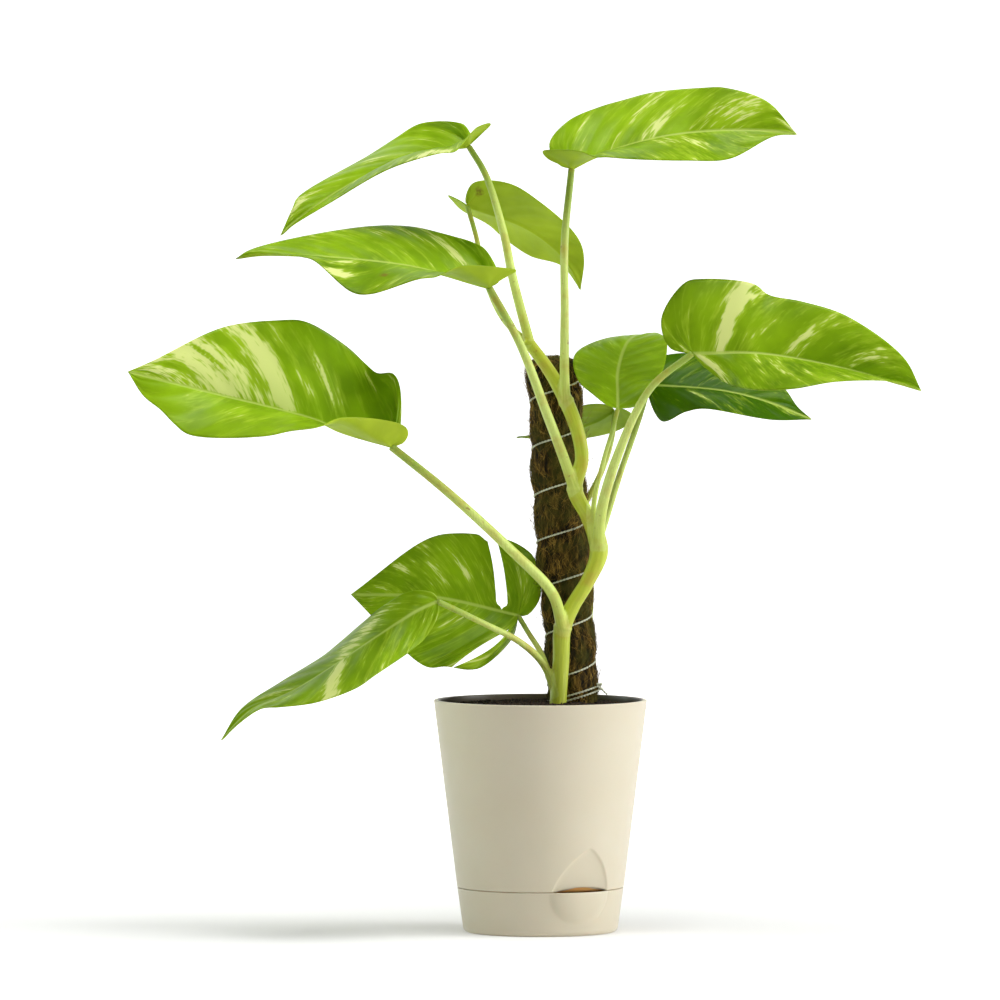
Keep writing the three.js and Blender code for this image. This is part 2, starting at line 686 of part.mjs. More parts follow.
// A point of one half, on the side vein from the rib to that place on the margin.
function veinPoint(leaf, k, place, share) {
  const lobe = leaf.lobes ? leaf.lobes[k] : BLADE.lobe;
  const past = THREE.MathUtils.clamp((place - BLADE.lobe) / (1 - BLADE.lobe), 0, 1);
  const fan = past ** BLADE.fan;
  const root = leaf.lines.rib.getPointAt(fan);
  const ahead = leaf.lines.rib.getTangentAt(fan);
  const reach = leaf.lines.margins[k].getPointAt(onMargin(place, lobe)).sub(root);
  const forward = reach.dot(ahead);
  const across = reach.addScaledVector(ahead, -forward);
  const up = k === 1 ? across.clone().cross(ahead) : ahead.clone().cross(across);
  const cup = leaf.cups ? leaf.cups[k] * smooth((2 * BLADE.lobe - place) / BLADE.lobe) : 0;
  return root
    .addScaledVector(ahead, forward * share ** (leaf.sweeps ? leaf.sweeps[k] : BLADE.sweep))
    .addScaledVector(across, share ** BLADE.spread)
    .addScaledVector(up, (BLADE.crown - cup) * 4 * share * (1 - share));
}

// The same point, with both banks of a split moved away from the vein that it follows. A split with
// an end narrows to it again. A point too near the rib or the margin is merged with it.
function bladePoint(leaf, k, place, column, bank) {
  const reach = veinPoint(leaf, k, place, 1).distanceTo(veinPoint(leaf, k, place, 0));
  let share = column;
  if (column < 1 && column * reach < BLADE.leastStep) share = 0;
  else if (column > 0 && (1 - column) * reach < BLADE.leastStep) share = 1;
  const point = veinPoint(leaf, k, place, share);
  for (const split of (leaf.splits ?? []).filter((one) => one.side === k)) {
    const run = (share - split.from) / (split.to ? split.to - split.from : BLADE.splitTaper);
    const open = split.to ? Math.sin(Math.PI * THREE.MathUtils.clamp(run, 0, 1)) : smooth(run);
    const fade = Math.exp(-(((place - split.at) / BLADE.splitReach) ** 2));
    const aside = veinPoint(leaf, k, place + 0.01, share).sub(veinPoint(leaf, k, place - 0.01, share));
    const away = bank || Math.sign(place - split.at);
    point.addScaledVector(aside.normalize(), (away * open * fade * split.width) / 2);
  }
  return point;
}

// Where along a margin its sharp ears are, as places of side veins.
function earPlaces(points, margin, lobe) {
  const perSpan = 24;
  const runs = margin.getLengths(perSpan * (points.length - 1));
  const ears = [];
  for (let i = 1; i + 1 < points.length; i += 1) {
    const [before, here, after] = points.slice(i - 1, i + 2).map(vector);
    const turn = here.clone().sub(before).angleTo(after.sub(here));
    const share = runs[perSpan * i] / runs[runs.length - 1];
    const place = share < lobe
      ? (share / lobe) * BLADE.lobe
      : BLADE.lobe + ((share - lobe) / (1 - lobe)) * (1 - BLADE.lobe);
    if (turn > radians(BLADE.sharpEar)) ears.push(place);
  }
  return ears;
}

// The side veins that carry points: an even run, with the nearest moved to each ear, and others at the
// splits and beside them.
function bladePlaces(leaf) {
  let places = Array.from({ length: BLADE.rows }, (_, i) => (i + 1) / BLADE.rows);
  [leaf.left, leaf.right].forEach((points, k) => {
    const lobe = leaf.lobes ? leaf.lobes[k] : BLADE.lobe;
    for (const ear of earPlaces(points, leaf.lines.margins[k], lobe)) {
      const inner = places.slice(0, -1).sort((a, b) => Math.abs(a - ear) - Math.abs(b - ear));
      places[places.indexOf(inner[0])] = ear;
    }
  });
  for (const { at } of leaf.splits ?? []) {
    places = places.filter((place) => Math.abs(place - at) > BLADE.rowAtBank);
    places.push(at - BLADE.rowAtBank, at, at + BLADE.rowAtBank);
  }
  return places.sort((a, b) => a - b);
}

// The blade's middle surface, laid from its rib out to its margins, and then given its thickness.
function blade(leaf, extra = 0) {
  const junction = vector(leaf.rib[0]);
  const length = leaf.lines.rib.getLength();
  const points = [];
  const normals = [];
  const numbers = new Map();

  function number(point) {
    const key = point.toArray().map((value) => Math.round(value * 1e4)).join(' ');
    if (!numbers.has(key)) {
      numbers.set(key, points.length);
      points.push(point);
      normals.push(new THREE.Vector3());
    }
    return numbers.get(key);
  }

  const rows = bladePlaces(leaf);
  const faces = [];
  const ribPoints = new Set();
  for (const k of [0, 1]) {
    const split = (leaf.splits ?? []).filter((one) => one.side === k).map((one) => one.at);
    const row = (at, bank) => BLADE.columns.map((share) => number(bladePoint(leaf, k, at, share, bank)));
    for (let i = 0; i + 1 < rows.length; i += 1) {
      const near = row(rows[i], split.includes(rows[i]) ? 1 : 0);
      const far = row(rows[i + 1], split.includes(rows[i + 1]) ? -1 : 0);
      ribPoints.add(near[0]).add(far[0]);
      for (let j = 0; j + 1 < near.length; j += 1) {
        const quad = [near[j], far[j], far[j + 1], near[j + 1]];
        const [a, b, c, d] = k === 1 ? quad : quad.reverse();
        for (const face of [[a, b, c], [a, c, d]]) {
          if (new Set(face).size === 3) faces.push(face);
        }
      }
    }
  }

  for (const [a, b, c] of faces) {
    const normal = points[b].clone().sub(points[a]).cross(points[c].clone().sub(points[a]));
    for (const corner of [a, b, c]) normals[corner].add(normal);
  }
  const along = (point) => THREE.MathUtils.clamp(point.distanceTo(junction) / length, 0, 1);
  const half = BLADE.thickness / 2 + extra;
  const count = points.length;
  const upper = points.map((point, i) => point.clone().addScaledVector(normals[i].normalize(), half));
  const lower = points.map((point, i) => {
    const onRib = ribPoints.has(i) && along(point) > 0;
    const ridge = onRib ? BLADE.ribHeight * (1 - BLADE.ribTaper * along(point)) : 0;
    return point.clone().addScaledVector(normals[i], -half - ridge);
  });

  const edges = new Map();
  for (const face of faces) {
    face.forEach((from, i) => edges.set(`${from} ${face[(i + 1) % 3]}`, [from, face[(i + 1) % 3]]));
  }
  const index = [];
  for (const [a, b, c] of faces) index.push(a, b, c, count + a, count + c, count + b);
  for (const [from, to] of edges.values()) {
    if (!edges.has(`${to} ${from}`)) index.push(from, count + to, to, from, count + from, count + to);
  }
  const geometry = new THREE.BufferGeometry().setFromPoints([...upper, ...lower]);
  geometry.setIndex(index);
  return solid(geometry);
}

// A stem with its stalks grown from it. Each stalk stops where it first meets the room of its blade.
function vine(stem, stalks) {
  const grown = [stalk(stem, STEM_SIDES, STEM_STEPS)];
  for (const [name, points] of Object.entries(stalks)) {
    const room = blade(LEAVES[name], GAP);
    let reach = 1;
    let own = stalk(points, STALK_SIDES, STALK_STEPS);
    while (own.intersect(room).volume() > 0) {
      reach -= STALK_TRIM;
      own = stalk(points, STALK_SIDES, STALK_STEPS, 0, reach);
    }
    grown.push(own);
  }
  return joined(grown);
}

function piece(name, manifold, look) {
  const mesh = new THREE.Mesh(geometryOf(manifold), new THREE.MeshStandardMaterial(look));
  mesh.name = name;
  return mesh;
}

// What stands in the mix, each a little larger than the real thing so that its hole clears it.
const sleeveHole = POLE.radius + POLE.lumps[0] + POLE.lumps[1] + GAP;
const standing = [
  stalk(MAIN_STEM, STEM_SIDES, STEM_STEPS, GAP),
  stalk(BACK_STEM, STEM_SIDES, STEM_STEPS, GAP),
  poleBore(sleeveHole, POLE.bottom[2] - GAP, POT.height + POLE.buried),
  poleBore(POLE.coreRadius + GAP, POLE.bottom[2] - POLE.coreBelow - GAP, POLE.bottom[2] + OVERRUN),
];

for (const leaf of Object.values(LEAVES)) {
  leaf.lines = { rib: smoothLine(leaf.rib), margins: [smoothLine(leaf.left), smoothLine(leaf.right)] };
}

const plant = new THREE.Group();
plant.add(piece('pot', pot(), LOOKS.pot));
plant.add(piece('reservoir_tray', reservoirTray(), LOOKS.tray));
plant.add(piece('potting_mix', pottingMix(standing), LOOKS.soil));
plant.add(piece('coir_sleeve', coirSleeve(), LOOKS.coir));
plant.add(piece('pole_core', poleCore(), LOOKS.core));
plant.add(piece('binding_thread', bindingThread(), LOOKS.thread));
plant.add(piece('main_vine', vine(MAIN_STEM, MAIN_STALKS), LOOKS.stem));
plant.add(piece('back_vine', vine(BACK_STEM, BACK_STALKS), LOOKS.stem));
for (const [name, leaf] of Object.entries(LEAVES)) {
  plant.add(piece(`blade_${name}`, blade(leaf), LOOKS.blade));
}

export default plant;
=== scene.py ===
import math
from functools import partial

import bpy
import numpy as np
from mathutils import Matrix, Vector, noise
from mathutils.kdtree import KDTree


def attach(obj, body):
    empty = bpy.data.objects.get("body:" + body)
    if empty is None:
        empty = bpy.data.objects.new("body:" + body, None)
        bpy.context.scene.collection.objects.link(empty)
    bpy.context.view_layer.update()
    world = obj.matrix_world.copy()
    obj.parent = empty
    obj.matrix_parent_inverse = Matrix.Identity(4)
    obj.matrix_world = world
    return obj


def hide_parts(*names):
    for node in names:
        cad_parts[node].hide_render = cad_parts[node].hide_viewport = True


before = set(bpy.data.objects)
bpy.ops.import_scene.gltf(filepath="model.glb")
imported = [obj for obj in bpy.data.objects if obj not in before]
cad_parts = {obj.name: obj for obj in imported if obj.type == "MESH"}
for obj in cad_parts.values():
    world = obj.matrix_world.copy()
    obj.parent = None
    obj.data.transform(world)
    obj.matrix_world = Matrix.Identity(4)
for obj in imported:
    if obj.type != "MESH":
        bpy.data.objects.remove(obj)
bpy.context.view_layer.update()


# Reservoir tray
# The cup under the pot that holds the water, moulded in cream polypropylene. Its wall swells out into a
# rounded lip at the watering mouth, a little to the right of the front.

MM = 0.001
SEAM_HEIGHT = 26.0
SEAM_RADIUS = 48.75
TRAY_FOOT = {"radius": 45.6, "height": 4.0, "fillet": 3.0}
TRAY_WALL = 2.0
TRAY_FLOOR = 2.2
TRAY_FLOOR_CURVE = 5.5
MOUTH_ANGLE = math.radians(-60)
MOUTH_REACH = 27.0
LIP = {"inset": 6.0, "reach": 2.6, "half_width": 19.5, "depth": 20.0, "blend": 1.2}
EDGE_ROUND = 0.35
WALL_STEPS = {"near_mouth": 0.45, "elsewhere": 130}
TRAY_ROWS = {"foot": 8, "outside": 34, "inside": 18}
# Painted glow and shade inside the wall: its slope, its depth inside the wall's line, its soft edge, and
# the heights over which it runs from a painted warm glow low in the slot to a painted dark shade inside the
# rim.
PAINTED_INNER_SHADE = {"slope": 0.135, "depth": 3.12, "edge": 0.12, "low": 30, "high": 110}
CREAM = "#d6cdb7"
CREAM_WARM = "#cfc4aa"


def linear(hex_colour):
    """The linear colour of an sRGB hex value."""
    channels = [int(hex_colour[i:i + 2], 16) / 255 for i in (1, 3, 5)]
    return tuple(c / 12.92 if c <= 0.04045 else ((c + 0.055) / 1.055) ** 2.4 for c in channels) + (1.0,)


def add_node(tree, kind, inputs=None, stops=(), **settings):
    """Adds a node with its settings. An input takes a value, a hex colour, a socket, a node or a list.

    A node stands for its first output in use, and a list links each of its members to the one input.
    """
    node = tree.nodes.new(kind)
    for name, value in settings.items():
        setattr(node, name, value)
    for number, (position, colour) in enumerate(stops):
        elements = node.color_ramp.elements
        element = elements[number] if number < 2 else elements.new(position)
        element.position = position
        element.color = linear(colour)
    for key, given in (inputs or {}).items():
        for value in given if isinstance(given, list) else [given]:
            if isinstance(value, bpy.types.Node):
                value = next(socket for socket in value.outputs if socket.enabled)
            if isinstance(value, bpy.types.NodeSocket):
                tree.links.new(value, node.inputs[key])
            else:
                is_colour = isinstance(value, str) and value.startswith("#")
                node.inputs[key].default_value = linear(value) if is_colour else value
    return node


def start_material(name):
    """An empty material, the function that adds a node to it, and the place on the object as a socket."""
    material = bpy.data.materials.new(name)
    material.use_nodes = True
    material.node_tree.nodes.clear()
    add = partial(add_node, material.node_tree)
    return material, add, add("ShaderNodeTexCoord").outputs["Object"]


def add_object(name, data):
    """A new object in the scene, at the origin."""
    added = bpy.data.objects.new(name, data)
    bpy.context.scene.collection.objects.link(added)
    return added


def mesh_piece(name, points, faces, material):
    """A smooth mesh object at the origin, from points in millimetres."""
    mesh = bpy.data.meshes.new(name)
    mesh.from_pydata((np.asarray(points, float) * MM).tolist(), [], [list(map(int, f)) for f in faces])
    mesh.validate()
    mesh.polygons.foreach_set("use_smooth", [True] * len(mesh.polygons))
    mesh.materials.append(material)
    return add_object(name, mesh)


def closed_surface(rows):
    """Points and faces over rows of points round an axis. The first and the last row are one point each."""
    points = np.concatenate(rows)
    starts = np.cumsum([0] + [len(row) for row in rows])
    sides = len(rows[1])
    faces = []
    for k in range(sides):
        after = (k + 1) % sides
        faces.append((starts[0], starts[1] + after, starts[1] + k))
        faces.append((starts[-2], starts[-3] + k, starts[-3] + after))
        for i in range(1, len(rows) - 2):
            low, high = starts[i], starts[i + 1]
            faces.append((low + k, low + after, high + after, high + k))
    return points, faces


def swell(radius, other, blend):
    """The larger of two radii, with a rounded join between them."""
    meeting = np.clip(1 - np.abs(radius - other) / blend, 0, 1)
    return np.maximum(radius, other) + blend / 4 * meeting ** 2


def turned_rows(profile, angles):
    """Rows round the pot's axis from pairs of radius and height, each one number or one per angle."""
    rows = [np.array([[0.0, 0.0, np.mean(profile[0][1])]])]
    for radius, height in profile[1:-1]:
        radius = np.broadcast_to(radius, angles.shape)
        height = np.broadcast_to(height, angles.shape)
        rows.append(np.stack([radius * np.cos(angles), radius * np.sin(angles), height], axis=1))
    return rows + [np.array([[0.0, 0.0, np.mean(profile[-1][1])]])]


near_mouth = np.arange(-MOUTH_REACH, MOUTH_REACH + 0.01, WALL_STEPS["near_mouth"]) / SEAM_RADIUS
past_mouth = np.linspace(near_mouth[-1], near_mouth[0] + 2 * math.pi, WALL_STEPS["elsewhere"])[1:-1]
from_mouth = np.concatenate([near_mouth, past_mouth])
wall_angles = MOUTH_ANGLE + from_mouth
from_mouth = (from_mouth + math.pi) % (2 * math.pi) - math.pi


def lip_radius(height, thinner):
    """The radius of the rounded lip in each direction at a height: under the wall's where it has ended."""
    out = LIP["inset"] + LIP["reach"] - thinner
    across = LIP["half_width"] - thinner
    down = LIP["depth"] - thinner
    middle = SEAM_RADIUS - LIP["inset"]
    a = (np.cos(from_mouth) / out) ** 2 + (np.sin(from_mouth) / across) ** 2
    b = -2 * middle * np.cos(from_mouth) / out ** 2
    c = (middle / out) ** 2 + ((height - SEAM_HEIGHT) / down) ** 2 - 1
    inside = b * b - 4 * a * c
    radius = (-b + np.sqrt(np.maximum(inside, 0))) / (2 * a)
    return np.where((inside > 0) & (np.cos(from_mouth) > 0), radius, 0.0)


def tray_radius(height, thinner, foot):
    """The radius of the tray's wall above the height of its foot, with the lip that swells out of it."""
    share = (height - foot) / (SEAM_HEIGHT - foot)
    wall = TRAY_FOOT["radius"] + (SEAM_RADIUS - TRAY_FOOT["radius"]) * share - thinner
    return swell(wall, lip_radius(height, thinner), LIP["blend"])


tray_outside = partial(tray_radius, thinner=0, foot=TRAY_FOOT["height"])
tray_inside = partial(tray_radius, thinner=TRAY_WALL, foot=TRAY_FLOOR_CURVE)


def moulded_polypropylene(name):
    """Injection-moulded polypropylene, IOR 1.49: satin, faintly pebbled, with painted glow and shade inside
    the wall.
    """
    material, add, place = start_material(name)
    drift = add("ShaderNodeTexNoise", {"Vector": place, "Scale": 1 / (40 * MM), "Detail": 2.0})
    pebble = add("ShaderNodeTexNoise", {"Vector": place, "Scale": 1 / (0.8 * MM), "Detail": 3.0})
    rub = add("ShaderNodeTexNoise", {"Vector": place, "Scale": 1 / (9 * MM), "Detail": 5.0})
    tone = add("ShaderNodeMix", {0: drift, 6: CREAM, 7: CREAM_WARM}, data_type="RGBA")
    level = add("ShaderNodeMapping", {"Vector": place, "Scale": (1.0, 1.0, 0.0)})
    radius = add("ShaderNodeVectorMath", {0: level}, operation="LENGTH")
    height = add("ShaderNodeSeparateXYZ", {0: place})
    # Painted glow and shade: surfaces deeper than the set depth inside the wall's line are coloured warm
    # orange low down in the watering slot, and dark brown higher up inside the rim.
    wall = add("ShaderNodeMath", {
        0: height.outputs[2], 1: PAINTED_INNER_SHADE["slope"],
        2: (SEAM_RADIUS - PAINTED_INNER_SHADE["slope"] * SEAM_HEIGHT - PAINTED_INNER_SHADE["depth"]) * MM}, operation="MULTIPLY_ADD")
    depth = add("ShaderNodeMath", {0: wall, 1: radius}, operation="SUBTRACT")
    inner_shade_mask = add("ShaderNodeMapRange", {0: depth, 1: 0.0, 2: PAINTED_INNER_SHADE["edge"] * MM, 4: 0.9})
    up = add("ShaderNodeMapRange", {0: height.outputs[2], 1: PAINTED_INNER_SHADE["low"] * MM, 2: PAINTED_INNER_SHADE["high"] * MM})
    brown = add("ShaderNodeMix", {0: up, 6: "#eaa858", 7: "#3a2c1a"}, data_type="RGBA")
    inner_shaded = add("ShaderNodeMix", {0: inner_shade_mask, 6: tone, 7: brown}, data_type="RGBA")
    gloss = add("ShaderNodeMapRange", {0: rub, 1: 0.3, 2: 0.7, 3: 0.36, 4: 0.48})
    skin = add("ShaderNodeBump", {"Height": pebble, "Strength": 0.12, "Distance": 0.06 * MM})
    shader = add("ShaderNodeBsdfPrincipled", {
        "Base Color": inner_shaded, "Roughness": gloss, "IOR": 1.49, "Subsurface Weight": 0.08,
        "Subsurface Scale": 2 * MM, "Normal": skin})
    add("ShaderNodeOutputMaterial", {"Surface": shader})
    return material


tray_profile = [(0, 0.0)]
for step in range(TRAY_ROWS["foot"] + 1):
    turn = math.pi / 2 / TRAY_ROWS["foot"] * step
    fillet = TRAY_FOOT["fillet"] * (1 - math.sin(turn))
    tray_profile.append((TRAY_FOOT["radius"] - fillet, TRAY_FOOT["height"] * (1 - math.cos(turn))))
for height in np.linspace(TRAY_FOOT["height"] + 1, SEAM_HEIGHT - EDGE_ROUND, TRAY_ROWS["outside"]):
    tray_profile.append((tray_outside(height), height))
tray_top = tray_outside(SEAM_HEIGHT)
mouth_inside = tray_inside(SEAM_HEIGHT)
tray_profile += [
    (tray_top - 0.3 * EDGE_ROUND, SEAM_HEIGHT - 0.3 * EDGE_ROUND),
    (tray_top - EDGE_ROUND, SEAM_HEIGHT),
    (mouth_inside + EDGE_ROUND, SEAM_HEIGHT),
    (mouth_inside + 0.3 * EDGE_ROUND, SEAM_HEIGHT - 0.3 * EDGE_ROUND),
]
for height in np.linspace(SEAM_HEIGHT - EDGE_ROUND, TRAY_FLOOR_CURVE, TRAY_ROWS["inside"]):
    tray_profile.append((tray_inside(height), height))
tray_profile += [(TRAY_FOOT["radius"] - TRAY_WALL - 3, TRAY_FLOOR), (0, TRAY_FLOOR)]

tray_plastic = moulded_polypropylene("moulded cream polypropylene, tray")
tray = mesh_piece("cream_tray", *closed_surface(turned_rows(tray_profile, wall_angles)), tray_plastic)
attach(tray, "root")
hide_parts("reservoir_tray")


# Pot
# A tapered cream pot of the same polypropylene. Its foot plugs into the tray with a collar and a wicking
# foot, and its wall is scooped in above the lip, which leaves a dark slot to pour the water in.

POT_HEIGHT = 136.0
RIM_RADIUS = 62.5
POT_GAP = 0.3
POT_WALL = 2.2
POT_FLOOR = 2.4
RIM_BEAD = {"depth": 5.0, "inward": 0.9, "round": 0.8}
POT_ROWS = {"scoop": 46, "outside": 36, "inside": 24}
COLLAR = {"depth": 8.0, "wall": 2.0, "clearance": 0.5, "notch": 17.0}
WICK = {"top": 17.0, "bottom": 14.0, "above_floor": 1.0}
SCOOP = {"height": 25.5, "half_width": 19.0, "depth": 3.1, "lean": 3.2, "edge": 0.06}
SLOT = {"rise": 2.3, "aside": 1.5}


def pot_radius(height):
    share = (height - SEAM_HEIGHT) / (POT_HEIGHT - SEAM_HEIGHT)
    return SEAM_RADIUS + (RIM_RADIUS - SEAM_RADIUS) * share


def scoop_depth(height):
    """How far the wall is scooped in at a height: a leaning pointed arch, deepest at the seam."""
    up = np.clip((height - SEAM_HEIGHT) / SCOOP["height"], 0, 1)
    half = SCOOP["half_width"] * (1 - up ** 1.5) ** 0.75 + 0.01
    across = (from_mouth * SEAM_RADIUS - SCOOP["lean"] * up) / half
    inside = np.clip(1 - across ** 2, 0, None)
    arch = np.sqrt(inside + SCOOP["edge"] ** 2) - SCOOP["edge"]
    return SCOOP["depth"] * arch * (1 - up ** 2) ** 0.6


def slot_rise():
    """How far the wall's lower edge is cut up over the mouth, most of it right of the middle."""
    across = (from_mouth * SEAM_RADIUS - SLOT["aside"]) / (SCOOP["half_width"] - SLOT["aside"])
    return SLOT["rise"] * np.clip(1 - across ** 2, 0, None) ** 0.8


pot_bottom = SEAM_HEIGHT + POT_GAP
lower_edge = pot_bottom + slot_rise()
scoop_top = SEAM_HEIGHT + SCOOP["height"] + 1
past_notch = np.abs(from_mouth) * SEAM_RADIUS - COLLAR["notch"]
collar_depth = COLLAR["depth"] * np.clip(past_notch / 0.5, 0.02, 1)
collar_out = tray_inside(SEAM_HEIGHT - COLLAR["depth"]).min() - COLLAR["clearance"]
collar_in = collar_out - COLLAR["wall"]
wick_bottom = TRAY_FLOOR + WICK["above_floor"]
edge_radius = pot_radius(lower_edge) - scoop_depth(lower_edge)
pot_profile = [
    (0, wick_bottom),
    (WICK["bottom"], wick_bottom),
    (WICK["top"], pot_bottom),
    (collar_in, pot_bottom),
    (collar_in, pot_bottom - collar_depth),
    (collar_out, pot_bottom - collar_depth),
    (collar_out + 0.5, (pot_bottom + lower_edge) / 2),
    (edge_radius - EDGE_ROUND, lower_edge),
    (edge_radius - 0.3 * EDGE_ROUND, lower_edge + 0.3 * EDGE_ROUND),
]
for share in np.linspace(0, 1, POT_ROWS["scoop"]):
    height = (lower_edge + EDGE_ROUND) * (1 - share) + scoop_top * share
    pot_profile.append((pot_radius(height) - scoop_depth(height), height))
for height in np.linspace(scoop_top, POT_HEIGHT - RIM_BEAD["round"], POT_ROWS["outside"])[1:]:
    pot_profile.append((pot_radius(height), height))
rim_inside = pot_radius(POT_HEIGHT) - POT_WALL - RIM_BEAD["inward"]
for edge, side, turns in (
        (pot_radius(POT_HEIGHT), -1, (0.35, 0.7, 1.0, 1.3, 1.57)),
        (rim_inside, 1, (1.57, 1.2, 0.8, 0.4, 0.0))):
    for turn in turns:
        back = side * RIM_BEAD["round"] * (1 - math.cos(turn))
        pot_profile.append((edge + back, POT_HEIGHT - RIM_BEAD["round"] * (1 - math.sin(turn))))
bead_bottom = POT_HEIGHT - RIM_BEAD["depth"]
pot_profile += [(rim_inside - 0.1, bead_bottom + 1), (pot_radius(bead_bottom) - POT_WALL, bead_bottom)]
floor_top = pot_bottom + POT_FLOOR
for height in np.linspace(bead_bottom - 1, floor_top + 3, POT_ROWS["inside"]):
    pot_profile.append((pot_radius(height) - POT_WALL - scoop_depth(height), height))
pot_profile += [(SEAM_RADIUS - 8, floor_top), (0, floor_top)]

pot_plastic = moulded_polypropylene("moulded cream polypropylene, pot")
pot = mesh_piece("cream_pot", *closed_surface(turned_rows(pot_profile, wall_angles)), pot_plastic)
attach(pot, "root")
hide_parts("pot")


# Potting mix
# Dark, damp, crumbly mix that fills the pot to just under its rim. The crumbs and bark chips that lie on
# it are scattered over the surface, and sink a little way in.

SOIL_EDGE = {"radius": 58.2, "height": 131.5}
SOIL_CROWN = 134.5
SOIL_BOTTOM = 30.0
SOIL_LUMPS = {"size": 7, "height": 1.3}
SOIL_ROWS = 60
SOIL_SIDES = 150
CRUMBS = {"Crumbs per square metre": 480000.0, "Crumb size": 0.9 * MM, "Seed": 11}


def start_tree(name, sizes):
    """A geometry node tree with a geometry going in and out, an input for each size and the material."""
    tree = bpy.data.node_groups.new(name, "GeometryNodeTree")
    kinds = {size: "Int" if isinstance(value, int) else "Float" for size, value in sizes.items()}
    for socket, kind in {"Geometry": "Geometry", **kinds, "Material": "Material"}.items():
        tree.interface.new_socket(socket, in_out="INPUT", socket_type="NodeSocket" + kind)
    tree.interface.new_socket("Geometry", in_out="OUTPUT", socket_type="NodeSocketGeometry")
    entry = add_node(tree, "NodeGroupInput")
    return tree, partial(add_node, tree), entry.outputs


def end_tree(add, geometry, material):
    """Ends a tree with real geometry in one material."""
    real = add("GeometryNodeRealizeInstances", {0: geometry})
    painted = add("GeometryNodeSetMaterial", {"Geometry": real, "Material": material})
    add("NodeGroupOutput", {0: painted})


def evaluated_mesh(base):
    """A new mesh of an object as its modifiers leave it."""
    depsgraph = bpy.context.evaluated_depsgraph_get()
    return bpy.data.meshes.new_from_object(base.evaluated_get(depsgraph), depsgraph=depsgraph)


def grow(name, tree, base, sizes, material):
    """Runs a tree on an object, with its inputs set by name, and returns the result as a plain mesh."""
    modifier = base.modifiers.new(name, "NODES")
    modifier.node_group = tree
    given = {**sizes, "Material": material}
    for socket in tree.interface.items_tree:
        if socket.in_out == "INPUT" and socket.name in given:
            modifier[socket.identifier] = given[socket.name]
    mesh = evaluated_mesh(base)
    base.modifiers.remove(modifier)
    mesh.name = name
    mesh.polygons.foreach_set("use_smooth", [True] * len(mesh.polygons))
    return add_object(name, mesh)


def potting_mix_finish():
    """Peat and bark, fully rough: near black where it is damp, brown on the chips that have dried."""
    material, add, place = start_material("damp potting mix")
    grain = add("ShaderNodeTexNoise", {"Vector": place, "Scale": 1 / (1.6 * MM), "Detail": 6.0})
    damp = add("ShaderNodeTexNoise", {"Vector": place, "Scale": 1 / (14 * MM), "Detail": 3.0})
    dark = add("ShaderNodeMix", {0: damp, 6: "#17100a", 7: "#2c1f13"}, data_type="RGBA")
    dry = add("ShaderNodeMapRange", {0: grain, 1: 0.52, 2: 0.68})
    tone = add("ShaderNodeMix", {0: dry, 6: dark, 7: "#5a422a"}, data_type="RGBA")
    crumb = add("ShaderNodeBump", {"Height": grain, "Strength": 0.8, "Distance": 0.8 * MM})
    shader = add("ShaderNodeBsdfPrincipled", {"Base Color": tone, "Roughness": 0.95, "Normal": crumb})
    add("ShaderNodeOutputMaterial", {"Surface": shader})
    return material


def crumb_tree():
    """Scatters lumpy crumbs and longer chips over the surface that it is given."""
    tree, add, entry = start_tree("scattered crumbs", CRUMBS)
    upward = add("GeometryNodeInputNormal")
    rise = add("ShaderNodeSeparateXYZ", {0: upward})
    level = add("ShaderNodeMath", {0: rise.outputs[2], 1: 0.5}, operation="GREATER_THAN")
    spots = add("GeometryNodeDistributePointsOnFaces", {
        "Mesh": entry["Geometry"], "Selection": level, "Density": entry["Crumbs per square metre"],
        "Seed": entry["Seed"]})
    ball = add("GeometryNodeMeshUVSphere", {"Radius": 1.1, "Segments": 5, "Rings": 2})
    spin = add("FunctionNodeRandomValue", {
        0: (0.0, 0.0, 0.0), 1: (6.28, 6.28, 6.28), "Seed": entry["Seed"]}, data_type="FLOAT_VECTOR")
    shape = add("FunctionNodeRandomValue", {
        0: (0.35, 0.35, 0.25), 1: (1.5, 1.0, 0.8), "Seed": 7}, data_type="FLOAT_VECTOR")
    size = add("ShaderNodeVectorMath", {0: shape, "Scale": entry["Crumb size"]}, operation="SCALE")
    crumbs = add("GeometryNodeInstanceOnPoints", {
        "Points": spots, "Instance": ball, "Rotation": spin, "Scale": size})
    both = add("GeometryNodeJoinGeometry", {0: [crumbs, entry["Geometry"]]})
    end_tree(add, both, entry["Material"])
    return tree


soil_angles = np.linspace(0, 2 * math.pi, SOIL_SIDES, endpoint=False)


def soil_row(share):
    """A ring of the crown: mounded in the middle, level and quiet where it meets the wall."""
    x = SOIL_EDGE["radius"] * share * np.cos(soil_angles)
    y = SOIL_EDGE["radius"] * share * np.sin(soil_angles)
    height = SOIL_EDGE["height"] + (SOIL_CROWN - SOIL_EDGE["height"]) * (1 - share ** 2)
    size = SOIL_LUMPS["size"]
    lump = np.array([noise.fractal((a / size, b / size, 3.0), 0.8, 2.1, 4) for a, b in zip(x, y)])
    return np.stack([x, y, height + SOIL_LUMPS["height"] * lump * min(1.0, 6 * (1.04 - share))], axis=1)


soil_side = (pot_radius(SOIL_BOTTOM) - POT_WALL - SCOOP["depth"] - 0.5, SOIL_BOTTOM)
soil_profile = [(0, SOIL_BOTTOM), soil_side, (0, SOIL_BOTTOM)]
soil_rows = turned_rows(soil_profile, soil_angles)[:2]
soil_rows += [soil_row(share) for share in np.linspace(1, 0.01, SOIL_ROWS)]
soil_rows.append(soil_rows[-1].mean(axis=0)[None])
soil_finish = potting_mix_finish()
soil_body = mesh_piece("soil_body", *closed_surface(soil_rows), soil_finish)
soil = grow("crumbly_soil", crumb_tree(), soil_body, CRUMBS, soil_finish)
bpy.data.objects.remove(soil_body)
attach(soil, "root")
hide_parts("potting_mix")


# Pole core
# The turned stick inside the pole. It is sealed in the fibre and the mix, so only its finish is set here.

